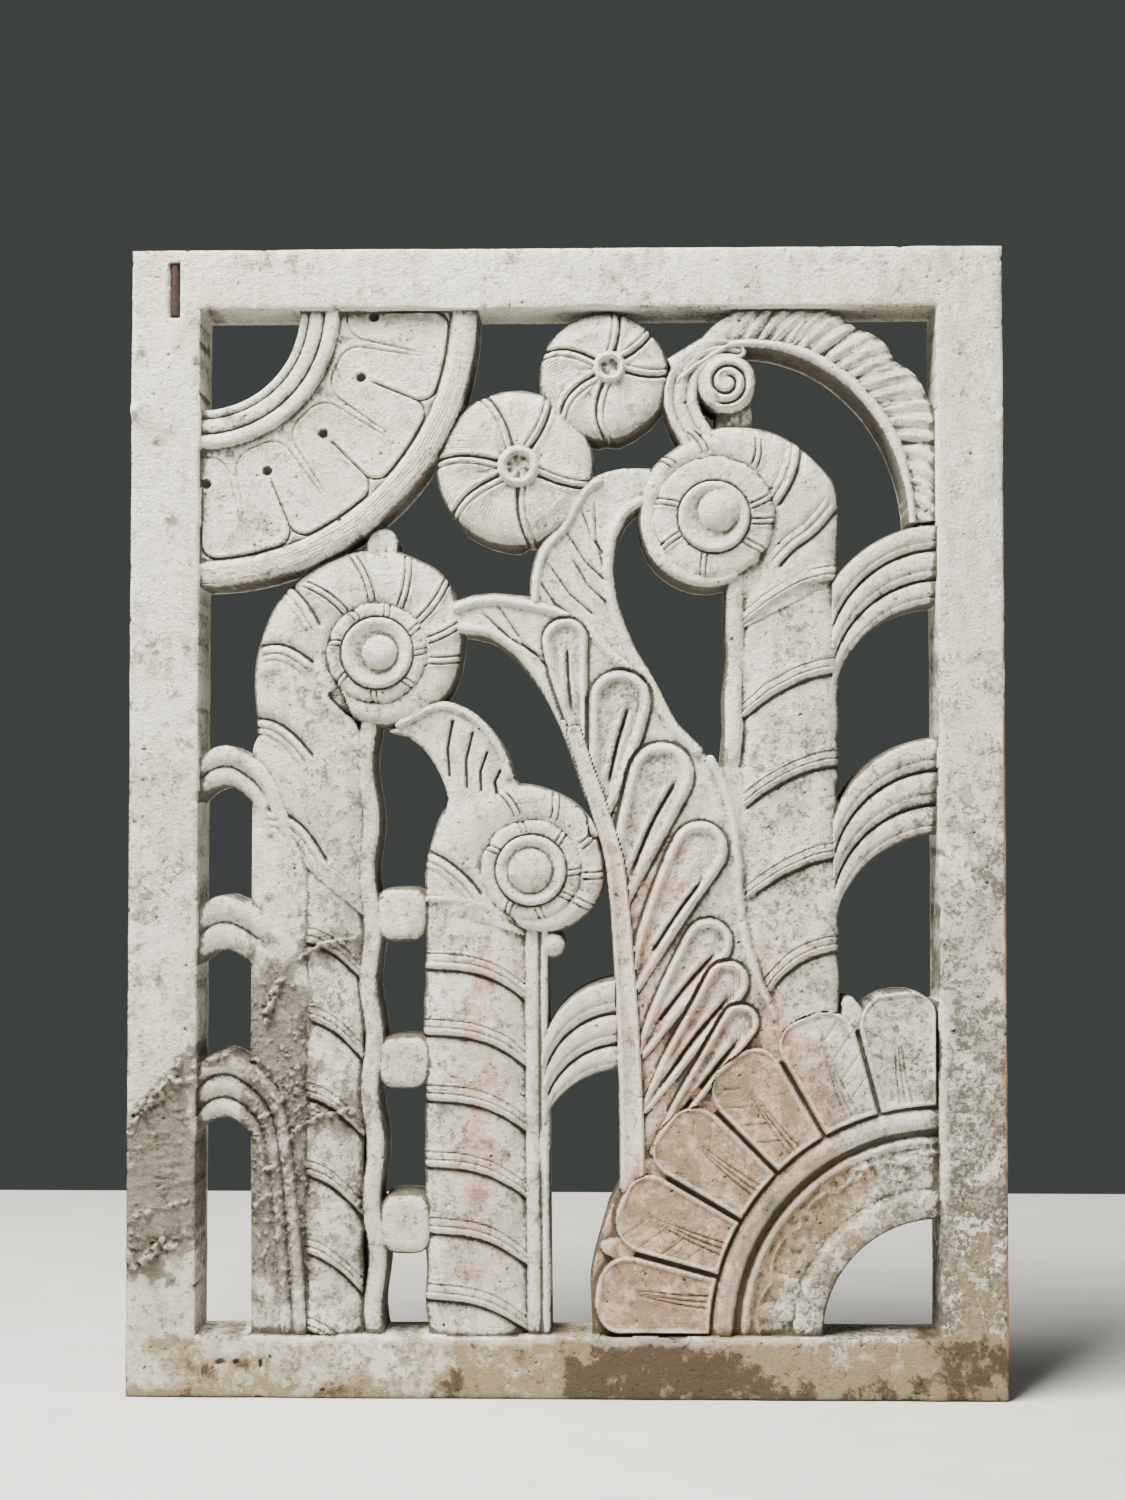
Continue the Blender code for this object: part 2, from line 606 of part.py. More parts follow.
def fern_leaf():
    outer = [(60, 646), (43, 646), (31, 644), (20, 640), (11, 634), (3, 621), (-5, 606), (-15, 596),
             (-21, 585), (-24.5, 570), (-25, 556)]
    arm = [(-35, 557), (-50, 558.5), (-65, 557), (-80, 552)]
    under = [(-80, 531), (-62, 529), (-50, 524), (-35, 512), (-20, 494), (-10, 480), (0, 458), (8, 437),
             (15, 415), (22, 400), (27, 385), (29.5, 360), (32, 330), (34, 300), (36.5, 260), (38, 215),
             (40, 170), (42, 146)]
    foot = [(90, 140), (160, 235), (152, 262), (143, 300), (134, 350), (128, 400), (124, 436)]
    inner = [(104, 437), (96, 447), (88, 455), (80, 463), (73, 475), (60, 500), (52, 513), (44, 530),
             (38, 547), (35, 562), (34, 577), (36, 593), (39.5, 604), (45, 614), (53, 621), (62, 623)]
    outline = outer + arm + under + foot + inner
    plate("fern_leaf", outline, 9)
    rim = [(-1, 11), (0, 5), (1, 11)]
    band("leaf_inner_rim", [(x - 4.5, z) for x, z in inner[1:]], 4.4, rim)
    band("leaf_outer_rim", [(-74, 549), (-62, 552), (-48, 553), (-33, 551), (-15, 547), (2, 541),
                            (18, 530), (30, 516), (44, 505)], 4.2, rim)
    band("leaf_under_rim", [(-70, 533), (-52, 530), (-34, 518), (-19, 500), (-7, 481), (3, 458),
                            (11, 436), (18, 415)], 4.5, rim)
    band("leaf_stem", [(49, 146), (48, 200), (46, 250), (42.5, 300), (39.5, 340), (36, 372),
                       (28, 400), (18, 430), (8, 460)], lambda t: 8.2 - 3 * t,
         [(-1, 11), (-0.5, 5), (0.5, 5), (1, 10.5)])
    lobes = [
        ([(8, 462), (2, 490), (-1, 515), (-2, 534)], 13.5),
        ([(24, 420), (31, 445), (38, 470), (41, 497)], 17),
        ([(40, 365), (52, 390), (65, 420), (77, 446)], 16.5),
        ([(50, 305), (68, 335), (85, 362), (101, 388)], 13.5),
        ([(56, 255), (74, 282), (91, 305), (108, 322)], 11),
        ([(58, 215), (77, 245), (97, 275), (113, 296)], 10),
        ([(60, 180), (82, 215), (104, 245), (126, 268)], 10),
    ]
    for spine, wide in lobes:
        lobe(spine, wide)
        groove([along(spine, 0.25), along(spine, 0.5), along(spine, 0.8)], 2.6, 10.5, 5.5)
    for low, high in (((6, 590), (30, 552)), ((-12, 582), (22, 545)), ((20, 625), (26, 575))):
        groove([low, ((low[0] + high[0]) / 2 - 1, (low[1] + high[1]) / 2 - 2), high], 1.4, 11, 8)


# The frame, and the casting put together

def casting():
    """The block is made a little too thick, and cut flat at the back once it is carved."""
    spare = SPARE * MM
    bpy.ops.mesh.primitive_cube_add(size=1, location=(0, spare / 2, PANEL_HEIGHT / 2))
    panel = bpy.context.object
    panel.name = "panel"
    panel.data.name = "panel"
    panel.scale = (PANEL_WIDTH, PANEL_THICKNESS + spare, PANEL_HEIGHT)
    bpy.ops.object.transform_apply(location=True, rotation=False, scale=True)
    for owner in list(panel.users_collection):
        owner.objects.unlink(panel)
    PARTS.objects.link(panel)

    mesh = bmesh.new()
    bmesh.ops.create_cube(mesh, size=2.0)
    for vert in mesh.verts:
        splay = 0.0 if vert.co.y < 0 else SPLAY
        depth = -BEHIND if vert.co.y < 0 else FOOT
        x = DRAWN_RIGHT - splay if vert.co.x > 0 else DRAWN_LEFT + splay
        z = DRAWN_TOP - splay if vert.co.z > 0 else DRAWN_BOTTOM + splay
        vert.co = (x, depth, z)
    field = object_from(mesh, "field", CUTS)
    CUTS.objects.unlink(field)
    bpy.context.scene.collection.objects.link(field)

    bpy.ops.mesh.primitive_cube_add(size=1, location=(0, BACK + 0.05, PANEL_HEIGHT / 2))
    trim = bpy.context.object
    trim.name = "back_trim"
    trim.scale = (PANEL_WIDTH * 1.5, 0.1, PANEL_HEIGHT * 1.5)
    bpy.ops.object.transform_apply(location=True, rotation=False, scale=True)
    trim.hide_render = True
    trim.display_type = "WIRE"

    eased = panel.modifiers.new("arris", "BEVEL")
    eased.width = ARRIS
    eased.segments = 2
    opened = panel.modifiers.new("field", "BOOLEAN")
    opened.object = field
    opened.operation = "DIFFERENCE"
    carved = panel.modifiers.new("carving", "BOOLEAN")
    carved.operand_type = "COLLECTION"
    carved.collection = CARVING
    carved.operation = "UNION"
    cut = panel.modifiers.new("cuts", "BOOLEAN")
    cut.operand_type = "COLLECTION"
    cut.collection = CUTS
    cut.operation = "DIFFERENCE"
    flat = panel.modifiers.new("back", "BOOLEAN")
    flat.object = trim
    flat.operation = "DIFFERENCE"
    return panel


def merge_level_faces(panel):
    """Join neighbouring faces that lie almost level, which keeps the carving's edges."""
    level = panel.modifiers.new("level_faces", "DECIMATE")
    level.decimate_type = "DISSOLVE"
    level.angle_limit = math.radians(4)


def rod_and_slot(panel):
    """The rod lies upright in a slot that the concrete has left open over it."""
    radius = ROD_DIAMETER / 2
    middle = (-PANEL_WIDTH / 2 + ROD_FROM_SIDE, FRONT + ROD_SUNK + radius,
              PANEL_HEIGHT - ROD_FROM_TOP)

    def bar(name, size, length):
        bpy.ops.mesh.primitive_cylinder_add(vertices=16, radius=size, depth=length, location=middle)
        made = bpy.context.object
        made.name = name
        made.data.name = name
        return made

    rod = bar("reinforcement_rod", radius, ROD_SHOWING)
    for owner in list(rod.users_collection):
        owner.objects.unlink(rod)
    PARTS.objects.link(rod)
    ends = rod.modifiers.new("ends", "BEVEL")
    ends.width = radius * 0.35
    ends.segments = 2
    ends.limit_method = "ANGLE"
    rod.data.shade_smooth()

    slot = bar("slot", radius + SLOT_GAP, ROD_SHOWING + 2 * SLOT_GAP)
    for vert in slot.data.vertices:
        if vert.co.y < 0.0:
            vert.co.y -= radius
    slot.hide_render = True
    slot.display_type = "WIRE"
    slotted = panel.modifiers.new("slot", "BOOLEAN")
    slotted.object = slot
    slotted.operation = "DIFFERENCE"
    return rod


def material(name, colour, roughness, metallic):
    made = bpy.data.materials.new(name)
    made.use_nodes = True
    shader = made.node_tree.nodes["Principled BSDF"]
    shader.inputs["Base Color"].default_value = (*colour, 1.0)
    shader.inputs["Roughness"].default_value = roughness
    shader.inputs["Metallic"].default_value = metallic
    return made


def build():
    quarter_sun()
    fan()
    flowers()
    scroll()
    hook_leaf()
    right_frond()
    middle_frond()
    left_frond()
    arches()
    left_arches()
    blade()
    beads()
    fern_leaf()
    panel = casting()
    rod = rod_and_slot(panel)
    merge_level_faces(panel)
    panel.data.materials.append(material("whitewashed_concrete", (0.76, 0.75, 0.68), 0.9, 0.0))
    rod.data.materials.append(material("rusted_steel", (0.13, 0.07, 0.05), 0.85, 0.3))


build()
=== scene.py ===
"""A weathered Art Deco panel of cast concrete, pierced with ferns, flowers and two suns."""
import math

import bmesh
import bpy
import numpy as np
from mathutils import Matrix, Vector
from mathutils.geometry import delaunay_2d_cdt


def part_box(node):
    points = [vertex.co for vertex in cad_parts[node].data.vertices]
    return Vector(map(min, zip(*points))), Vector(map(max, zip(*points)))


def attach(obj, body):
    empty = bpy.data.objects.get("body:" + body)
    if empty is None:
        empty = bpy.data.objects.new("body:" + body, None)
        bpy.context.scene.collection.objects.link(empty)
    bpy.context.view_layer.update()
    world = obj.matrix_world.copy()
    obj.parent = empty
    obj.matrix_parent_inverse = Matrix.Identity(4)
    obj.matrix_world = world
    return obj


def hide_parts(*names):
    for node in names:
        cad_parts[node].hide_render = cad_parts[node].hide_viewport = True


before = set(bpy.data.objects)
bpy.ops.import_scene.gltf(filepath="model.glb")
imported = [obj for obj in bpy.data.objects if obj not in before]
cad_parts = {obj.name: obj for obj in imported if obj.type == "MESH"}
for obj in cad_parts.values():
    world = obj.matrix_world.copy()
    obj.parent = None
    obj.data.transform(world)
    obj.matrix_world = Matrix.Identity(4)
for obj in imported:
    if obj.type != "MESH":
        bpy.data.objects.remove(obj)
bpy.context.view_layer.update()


# The casting

# One slab of concrete, cast face down in a carved mould: a plain frame round an openwork relief.
# Its face is worked out here as a depth, in mm behind the frame's face, for each point of a fine grid.
MM = 0.001
low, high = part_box("panel")
WIDE = (high[0] - low[0]) / MM
TALL = (high[2] - low[2]) / MM
LEFT, RIGHT, BOTTOM, TOP = -257.0, 259.0, 42.0, 757.5
GRID = 1.0
EMPTY = 70.0
xs = np.linspace(-WIDE / 2, WIDE / 2, round(WIDE / GRID) + 1)
zs = np.linspace(0, TALL, round(TALL / GRID) + 1)
X, Z = np.meshgrid(xs, zs)
depth = np.full(X.shape, EMPTY)
FAR = 9.0
reach = np.full(X.shape, -FAR)


def blurred(grid, size, stretch=1.0):
    """The grid without its fine detail: a larger size takes more of it away."""
    up = np.fft.fftfreq(X.shape[0], GRID)[:, None]
    across = np.fft.rfftfreq(X.shape[1], GRID)[None, :]
    fade = np.exp(-((up ** 2 + (stretch * across) ** 2) * size ** 2))
    return np.fft.irfft2(np.fft.rfft2(grid) * fade, X.shape)


def mottle(size, seed, stretch=1.0):
    """Soft noise over the grid, with lumps of a size in mm and a spread of 1."""
    soft = blurred(np.random.default_rng(seed).standard_normal(X.shape), 2.2 * size, stretch)
    return soft / soft.std()


def patch_round(points, margin=5):
    """The patch of the grid that holds some points."""
    x = [point[0] for point in points]
    z = [point[1] for point in points]
    i = np.clip(np.searchsorted(xs, (min(x) - margin, max(x) + margin)), 0, len(xs))
    j = np.clip(np.searchsorted(zs, (min(z) - margin, max(z) + margin)), 0, len(zs))
    return slice(j[0], j[1]), slice(i[0], i[1])


def disc_patch(centre, radius, margin=5):
    """The patch of the grid that holds a circle."""
    return patch_round([(centre[0] + way * radius, centre[1] + way * radius) for way in (-1, 1)], margin)


def unit(value):
    """The value, held between 0 and 1."""
    return np.clip(value, 0, 1)


def stamp(patch, inner, surface, over=False):
    """Add a form: inner is how far a point lies inside its outline, and over lays it on what is there."""
    reach[patch] = np.maximum(reach[patch], np.clip(inner, -FAR, FAR))
    showing = surface if over else np.minimum(depth[patch], surface)
    depth[patch] = np.where(inner > 0, showing, depth[patch])


def sink(patch, amount, floor=None):
    """Cut into what stands there: by an amount, or down to a floor where the amount is a mask."""
    if floor is None:
        lower = depth[patch] + amount
    else:
        lower = np.where(amount, np.maximum(depth[patch], floor), depth[patch])
    depth[patch] = np.where(depth[patch] < EMPTY - 1, lower, depth[patch])


def smooth(points, each=4):
    """A smooth open curve through the points."""
    ends = [points[0]] + list(points) + [points[-1]]
    curve = []
    for before, start, end, after in zip(ends, ends[1:], ends[2:], ends[3:]):
        for step in range(each):
            t = step / each
            curve.append(tuple(
                0.5 * (2 * b + (c - a) * t + (2 * a - 5 * b + 4 * c - d) * t * t
                       + (3 * b - a - 3 * c + d) * t ** 3)
                for a, b, c, d in zip(before, start, end, after)))
    curve.append(tuple(points[-1]))
    return curve


def polar(centre, radius, degrees):
    turn = math.radians(degrees)
    return centre[0] + radius * math.cos(turn), centre[1] + radius * math.sin(turn)


def in_turn(centre, patch, across=1, up=1):
    """Radius and angle in degrees of a patch's points round a centre."""
    x = (X[patch] - centre[0]) * across
    z = (Z[patch] - centre[1]) * up
    return np.hypot(x, z), np.degrees(np.arctan2(z, x))


def from_path(patch, path):
    """For each point of a patch: how far it is from a path, the share along the path, and the side."""
    x, z = X[patch], Z[patch]
    nearest = np.full(x.shape, 1e9)
    share = np.zeros(x.shape)
    side = np.zeros(x.shape)
    lengths = [math.dist(a[:2], b[:2]) for a, b in zip(path, path[1:])]
    total = sum(lengths)
    gone = 0.0
    for a, b, length in zip(path, path[1:], lengths):
        if length == 0:
            continue
        dx, dz = b[0] - a[0], b[1] - a[1]
        t = unit(((x - a[0]) * dx + (z - a[1]) * dz) / length ** 2)
        off_x = x - a[0] - t * dx
        off_z = z - a[1] - t * dz
        away = np.hypot(off_x, off_z)
        closer = away < nearest
        nearest[closer] = away[closer]
        share[closer] = ((gone + t * length) / total)[closer]
        side[closer] = np.sign(dx * off_z - dz * off_x)[closer]
        gone += length
    return nearest, share, side


def profile(value, points):
    """The level at each value, along a profile of (value, level)."""
    return np.interp(value, *zip(*points))


def within(patch, outline):
    """How far each point of a patch lies inside a closed outline."""
    x, z = X[patch], Z[patch]
    closed = list(outline) + [outline[0]]
    odd = np.zeros(x.shape, bool)
    for a, b in zip(closed, closed[1:]):
        if a[1] != b[1]:
            crosses = (a[1] > z) != (b[1] > z)
            odd ^= crosses & (x < (b[0] - a[0]) * (z - a[1]) / (b[1] - a[1]) + a[0])
    away = from_path(patch, closed)[0]
    return np.where(odd, away, -away)


def loft(rows):
    """A form whose surface runs over rows of (x, z, depth) points."""
    outline = [row[0][:2] for row in rows] + [point[:2] for point in rows[-1][1:-1]]
    outline += [row[-1][:2] for row in reversed(rows)] + [point[:2] for point in reversed(rows[0][1:-1])]
    whole = patch_round(outline)
    inner = within(whole, outline)
    surface = np.full(X.shape, EMPTY)
    for one, two in zip(rows, rows[1:]):
        for a, b, c, d in zip(one, one[1:], two[1:], two):
            for corner in ((a, b, c), (a, c, d)):
                small = patch_round(corner, 1.5)
                x, z = X[small], Z[small]
                (ax, az, ad), (bx, bz, bd), (cx, cz, cd) = corner
                area = (bx - ax) * (cz - az) - (cx - ax) * (bz - az)
                if abs(area) < 1e-9:
                    continue
                u = ((x - ax) * (cz - az) - (cx - ax) * (z - az)) / area
                v = ((bx - ax) * (z - az) - (bz - az) * (x - ax)) / area
                inside = (u > -0.02) & (v > -0.02) & (u + v < 1.02)
                level = np.where(inside, ad + u * (bd - ad) + v * (cd - ad), EMPTY)
                surface[small] = np.minimum(surface[small], level)
    surface = surface[whole]
    gaps = (inner > 0) & (surface > EMPTY - 1)
    surface[gaps] = np.interp(inner[gaps], (0, 2, 8), (11, 8, 6))
    stamp(whole, inner, surface)


def along_share(path, share):
    """The point at a share of a path's steps."""
    place = share * (len(path) - 1)
    first = min(int(place), len(path) - 2)
    rest = place - first
    return tuple(a + (b - a) * rest for a, b in zip(path[first], path[first + 1]))


def band(path, half_width, section, over=False):
    """A moulding along a path; its section is (share of the half width, depth), left side first."""
    patch = patch_round(path, 22)
    away, share, side = from_path(patch, path)
    wide = half_width(share) if callable(half_width) else half_width
    surface = profile(-side * away / wide, section)
    stamp(patch, wide - away, surface, over)


def turned(centre, section):
    """A round form from a section of (radius, depth)."""
    rim = section[-1][0]
    patch = disc_patch(centre, rim)
    radius = in_turn(centre, patch)[0]
    stamp(patch, rim - radius, profile(radius, section))


def plate(outline, level, ease):
    """A flat form with an outline and an eased edge."""
    patch = patch_round(outline)
    inner = within(patch, outline)
    stamp(patch, inner, level + ease * (1 - unit(inner / ease)) ** 2)


def groove(path, half_width, floor):
    """A V-shaped groove along a path, down to a depth."""
    patch = patch_round(path)
    share = unit(from_path(patch, path)[0] / half_width)
    level = floor - (floor - 1.0) * share
    sink(patch, (share < 1) & (level > depth[patch]), level)


def pit(centre, radius, floor):
    patch = disc_patch(centre, radius, 2)
    away = in_turn(centre, patch)[0]
    sink(patch, away < radius, floor - 2.5 * (away / radius) ** 4)


# The frame: two stiles and two rails round the field, with a worn arris on every edge.
outside_field = np.maximum(np.maximum(LEFT - X, X - RIGHT), np.maximum(BOTTOM - Z, Z - TOP))
to_edge = np.minimum(WIDE / 2 - np.abs(X), np.minimum(Z, TALL - Z))
wander = 0.5 * mottle(16, 3)
inner_arris = 1.5 * (1 - unit((outside_field + wander) / 2.2)) ** 2
outer_arris = 1.6 * (1 - unit((to_edge + 0.6 * wander) / 2.4)) ** 2
all_of_it = (slice(None), slice(None))
stamp(all_of_it, outside_field + 0.25 * wander, inner_arris + outer_arris)


def from_turns(turn, angles):
    """The signed gap in degrees between each turn and the nearest of some angles."""
    gaps = (turn[..., None] - np.array(angles) + 180) % 360 - 180
    nearest = np.abs(gaps).argmin(axis=-1)[..., None]
    return np.take_along_axis(gaps, nearest, axis=-1)[..., 0]


# The rising quarter sun, in the top left corner: three rings, four petals and a striped rim.
sun = (LEFT, TOP)
sun_rim = 195.5
patch = patch_round([sun, (LEFT + sun_rim, TOP - sun_rim)], 3)
radius, turn = in_turn(sun, patch, 1, -1)
ray = turn / 22.5
from_ray = np.abs(ray - np.round(ray)) * 22.5
off_ray = np.radians(from_ray) * radius
off_spine = np.radians(11.25 - from_ray) * radius
surface = profile(radius, (
    (70, 7), (71, 5.4), (73, 4.9), (75, 5.4), (76, 7.6), (77.2, 5), (79, 4.1), (84, 4.1), (86, 5), (87, 7.6),
    (88, 4), (90, 2.7), (95, 2.6), (96.8, 4), (98, 7.4), (101, 7.2), (174, 6.8), (176, 8), (177.2, 6.5),
    (179, 4), (182, 3.3), (190, 3.6), (194, 5), (195.5, 7.5)))


def cut_line(away, wide, deep):
    """The depth that a cut with a fine raised lip adds, by distance from its middle."""
    return deep * (1 - unit(away / wide)) - 0.3 * deep * np.exp(-((away - 1.6 * wide) / wide) ** 2)


petals = (radius > 100) & (radius < 176)
petal_corner = 12
outer_end = petal_corner - np.hypot(np.clip(petal_corner - off_ray, 0, None),
                                    np.clip(radius - 175 + petal_corner, 0, None))
on_outer_end = petals & ((radius > 175 - petal_corner) | ((radius > 129) & (off_ray < 6)))
spine_gap = np.interp(radius, (110, 165), (3.0, 1.0))
foot_corner = 13
inner_end = foot_corner - np.hypot(np.clip(foot_corner + spine_gap - off_spine, 0, None),
                                   np.clip(103 + foot_corner - radius, 0, None))
on_inner_end = petals & ((radius < 103 + foot_corner) | ((radius < 166) & (off_spine < 8)))
surface += on_outer_end * cut_line(np.abs(outer_end), 1.3, 2.6) * unit((radius - 129) / 3)
surface += on_inner_end * cut_line(np.abs(inner_end), 1.1, 1.5) * unit((166 - radius) / 20)
surface += 0.9 * petals * (off_spine < spine_gap) * unit((125 - radius) / 20)
striped = (radius > 178.5) & (radius < 194.5)
surface += striped * 0.3 * np.sin((radius + 0.4 * mottle(9, 19)[patch]) / 2.2 * 2 * math.pi)
stamp(patch, np.minimum(radius - 70, sun_rim - radius), surface)
for step in range(5):
    inset = 1.7 if step == 0 else -1.7 if step == 4 else 0
    pit(polar(sun, 122, -22.5 * step - inset), 3.6, 12)


# The two flowers under the top rail: overlapping petals that swirl round a ringed boss with a dish in it.
BOSS = [(0, 6.4), (0.6, 6.4), (0.72, 3.6), (0.84, 1.7), (1.0, 1.7), (1.14, 4.2), (1.24, 7)]


def flower(centre, size, boss, boss_size, partings, swirl, seed):
    patch = disc_patch(centre, size, 4)
    radius = in_turn(centre, patch)[0]
    out, turn = in_turn(boss, patch)
    share = np.clip((out - 1.2 * boss_size) / (size - 1.2 * boss_size), 0, 1.2)
    turn = (turn - swirl * share ** 2) % 360
    signed = from_turns(turn, partings)
    off = np.radians(np.abs(signed)) * out
    notch = 1.6 * np.exp(-(off / 4) ** 2)
    surface = np.interp(radius / size, (0, 0.35, 0.7, 0.88, 0.96, 1), (6.2, 5.4, 4.4, 6.2, 9, 13))
    surface += cut_line(np.abs(off - 0.2), 1.6, 3.2) + cut_line(np.abs(off - 5.2), 1.1, 1.8) * (signed > 0)
    surface -= 0.9 * np.exp(-((off - 8) / 4) ** 2) * (signed > 0)
    combed = np.sin((turn + 4 * np.sin(share * 3)) / 3.4 * 2 * math.pi) * unit(share * 2)
    surface += 0.2 * combed * (1 + np.clip(mottle(14, seed)[patch], -1, 1))
    stamp(patch, size - notch - radius + 0.4 * mottle(7, seed + 1)[patch], surface)
    turned(boss, [(share * boss_size, level) for share, level in BOSS])
    sink(patch, out < 0.7 * boss_size, np.interp(out / boss_size, (0, 0.55, 0.7), (5.6, 5.4, 3.6)))


flower((27, 711), 45.5, (31, 717), 9.5, (72, 30, -18, -112, 208, 152), 14, 31)
flower((-35.5, 646), 55.5, (-33, 647), 12.5, (55, 105, 165, 205, 268, 335), 10, 41)


# The scroll beside them: a grooved stem that winds up to an eye with a spiral cut.
def cut(path, wide, deep, fade=0.12):
    """A fine cut along a path, with a raised lip on each side and soft ends."""
    patch = patch_round(path, 3 * wide)
    away, share, side = from_path(patch, path)
    sink(patch, cut_line(away, wide, deep) * np.clip(np.minimum(share, 1 - share) / fade, 0.15, 1))


stem = smooth([(121, 727.5), (108, 729.5), (94, 724), (84, 711), (81, 694), (86, 678), (95, 663)], 6)
band([(119, 700), (119, 664)], 13.5, [(-1, 16), (-0.8, 13), (-0.3, 12), (0.3, 12), (0.8, 13), (1, 16)])
band(stem, lambda t: 6 + 6.5 * np.minimum(1, 1.8 * t),
     [(-1, 13), (-0.93, 8), (-0.8, 5.4), (-0.62, 4.6), (-0.46, 6), (-0.3, 7.6), (-0.1, 6.2), (0.1, 5.0),
      (0.3, 6.4), (0.45, 7.8), (0.62, 5.4), (0.8, 4.6), (0.93, 8), (1, 13)])
scroll_eye = (113, 706)
turned(scroll_eye, [(0, 3.6), (12, 3.9), (17.5, 4.4), (20, 6.5), (21.5, 11)])
spiral = [polar(scroll_eye, 4 + 11.5 * t, 110 - 590 * t) for t in (step / 60 for step in range(61))]
cut(spiral, 2.0, 4.2, 0.05)

# The feathered leaf that hooks over the top right corner: a rounded spine and combed barbs.
hook = (125, 600)
hook_wide, hook_tall = 115, 130
patch = patch_round([(60, 600), (266, 764)], 3)
stretch, turn = in_turn(hook, patch, 1 / hook_wide, 1 / hook_tall)
inner_edge = 1 - 0.0045 * np.clip(turn - 93, 0, 30)
outer_edge = profile(turn, (
    (3, 1.21), (10, 1.22), (17, 1.25), (24, 1.33), (28.5, 1.34), (33, 1.34), (36, 1.345), (39, 1.35),
    (42, 1.333), (45.3, 1.305), (48, 1.33), (51, 1.341), (54.4, 1.33), (57.8, 1.303), (62, 1.312),
    (67.4, 1.32), (75, 1.27), (84, 1.24), (92.9, 1.213), (98.7, 1.152), (103.4, 1.091), (109.5, 1.069),
    (116, 1.0525)))
share = (stretch - inner_edge) / (outer_edge - inner_edge)
scale = np.hypot(hook_wide * np.cos(np.radians(turn)), hook_tall * np.sin(np.radians(turn)))
inner = np.minimum(stretch - inner_edge, outer_edge - stretch) * scale
inner = np.minimum(inner, np.minimum(turn - 3, 116 - turn) * 2)
surface = np.interp(share, (0, 0.04, 0.1, 0.17, 0.22, 0.3, 0.55, 0.85, 1),
                    (9, 6, 4.2, 4.4, 7.2, 6.8, 5, 5.4, 9))
barbs = (share > 0.22) * unit(np.interp(turn, (86, 100), (1, 0)))
surface += barbs * (0.75 * np.sin((turn + 9 * share) / 4.6 * 2 * math.pi)
                    + 0.3 * np.sin((turn + 11 * share) / 1.7 * 2 * math.pi))
for cusp in (9, 21, 33, 45.3, 57.8, 69, 80):
    crease = np.abs(turn + 7 * (share - 1) - cusp) * 2.3
    surface += 1.6 * (share > 0.24) * (1 - unit(crease / 2.2))
stamp(patch, inner, surface)


# The three fern fronds: a scaled column that turns over at its top and curls round a rosette.
CROOK_SECTION = [(0, 9.5), (0.08, 6.8), (0.2, 5.2), (0.42, 4.4), (0.62, 4.5), (0.78, 5.6), (0.9, 7.8),
                 (0.96, 10), (1, 13.5)]


def crook(eye, contour, inner_radius, feet):
    """A frond's curl: the rows at its foot, then a contour of (angle, radius) round the eye."""
    rows = [[along_share(foot, share) + (level,) for share, level in CROOK_SECTION] for foot in feet]
    for angle, size in smooth(contour):
        rows.append([polar(eye, inner_radius + (size - inner_radius) * share, angle) + (level,)
                     for share, level in CROOK_SECTION])
    loft(rows)


def creases(eye, angles, start, end, lean=6, deep=3.0, apart=2.3):
    """Pairs of cuts that run out from an eye, each with a raised rib between."""
    patch = disc_patch(eye, end)
    radius, turn = in_turn(eye, patch)
    out = unit((radius - start) / (end - start))
    inside = unit(np.minimum(radius - start, end - radius) / 2)
    for angle in angles:
        off = np.radians((turn - angle - lean * out ** 1.5 + 180) % 360 - 180) * radius
        cuts = cut_line(np.abs(np.abs(off) - apart), 1.1, deep) - 0.5 * np.exp(-(off / apart) ** 2)
        sink(patch, inside * cuts * (np.abs(off) < 9))


def rosette(eye, saucer, disc, knob, knob_size, angles):
    """A flat disc with scalloped segments, a saucer on it and a ball in the saucer."""
    patch = disc_patch(eye, disc)
    radius, turn = in_turn(eye, patch)
    notch = np.radians(from_turns(turn, angles)) * radius / 3
    notched = disc - 1.4 * np.exp(-notch ** 2) + 0.3 * mottle(4, 27)[patch]
    surface = np.interp(radius / notched, (0, 0.6, 0.9, 0.96, 1), (3.4, 3.4, 3.6, 4.8, 8.5))
    stamp(patch, notched - radius, surface + 0.15 * np.sin(turn * 1.7 + mottle(6, 28)[patch]))
    creases(eye, angles, saucer + 0.5, disc - 0.5, 4, 2.6, 1.9)
    patch = disc_patch(eye, saucer, 2)
    radius = in_turn(eye, patch)[0]
    dish = np.interp(radius / saucer, (0, 0.6, 0.7, 0.8, 0.89, 0.94, 0.975, 1, 1.03, 1.07),
                     (4.6, 4.2, 2.7, 1.4, 0.7, 0.8, 1.8, 4.8, 5.4, 3.6))
    depth[patch] = np.where(radius < 1.07 * saucer, dish, depth[patch])
    ball(knob, knob_size, -2.0, 8.5)


def ball(centre, size, front, proud):
    patch = disc_patch(centre, size)
    radius = in_turn(centre, patch)[0] / size
    stamp(patch, (1 - radius) * size, front + proud - proud * np.sqrt(unit(1 - radius ** 2)))


SCALE_DROP = [(0, 4.2), (0.015, 3.4), (0.035, 0), (0.07, -0.9), (0.16, -0.5), (0.5, 0.3), (0.9, 1.2),
              (0.97, 2), (1, 4.2)]


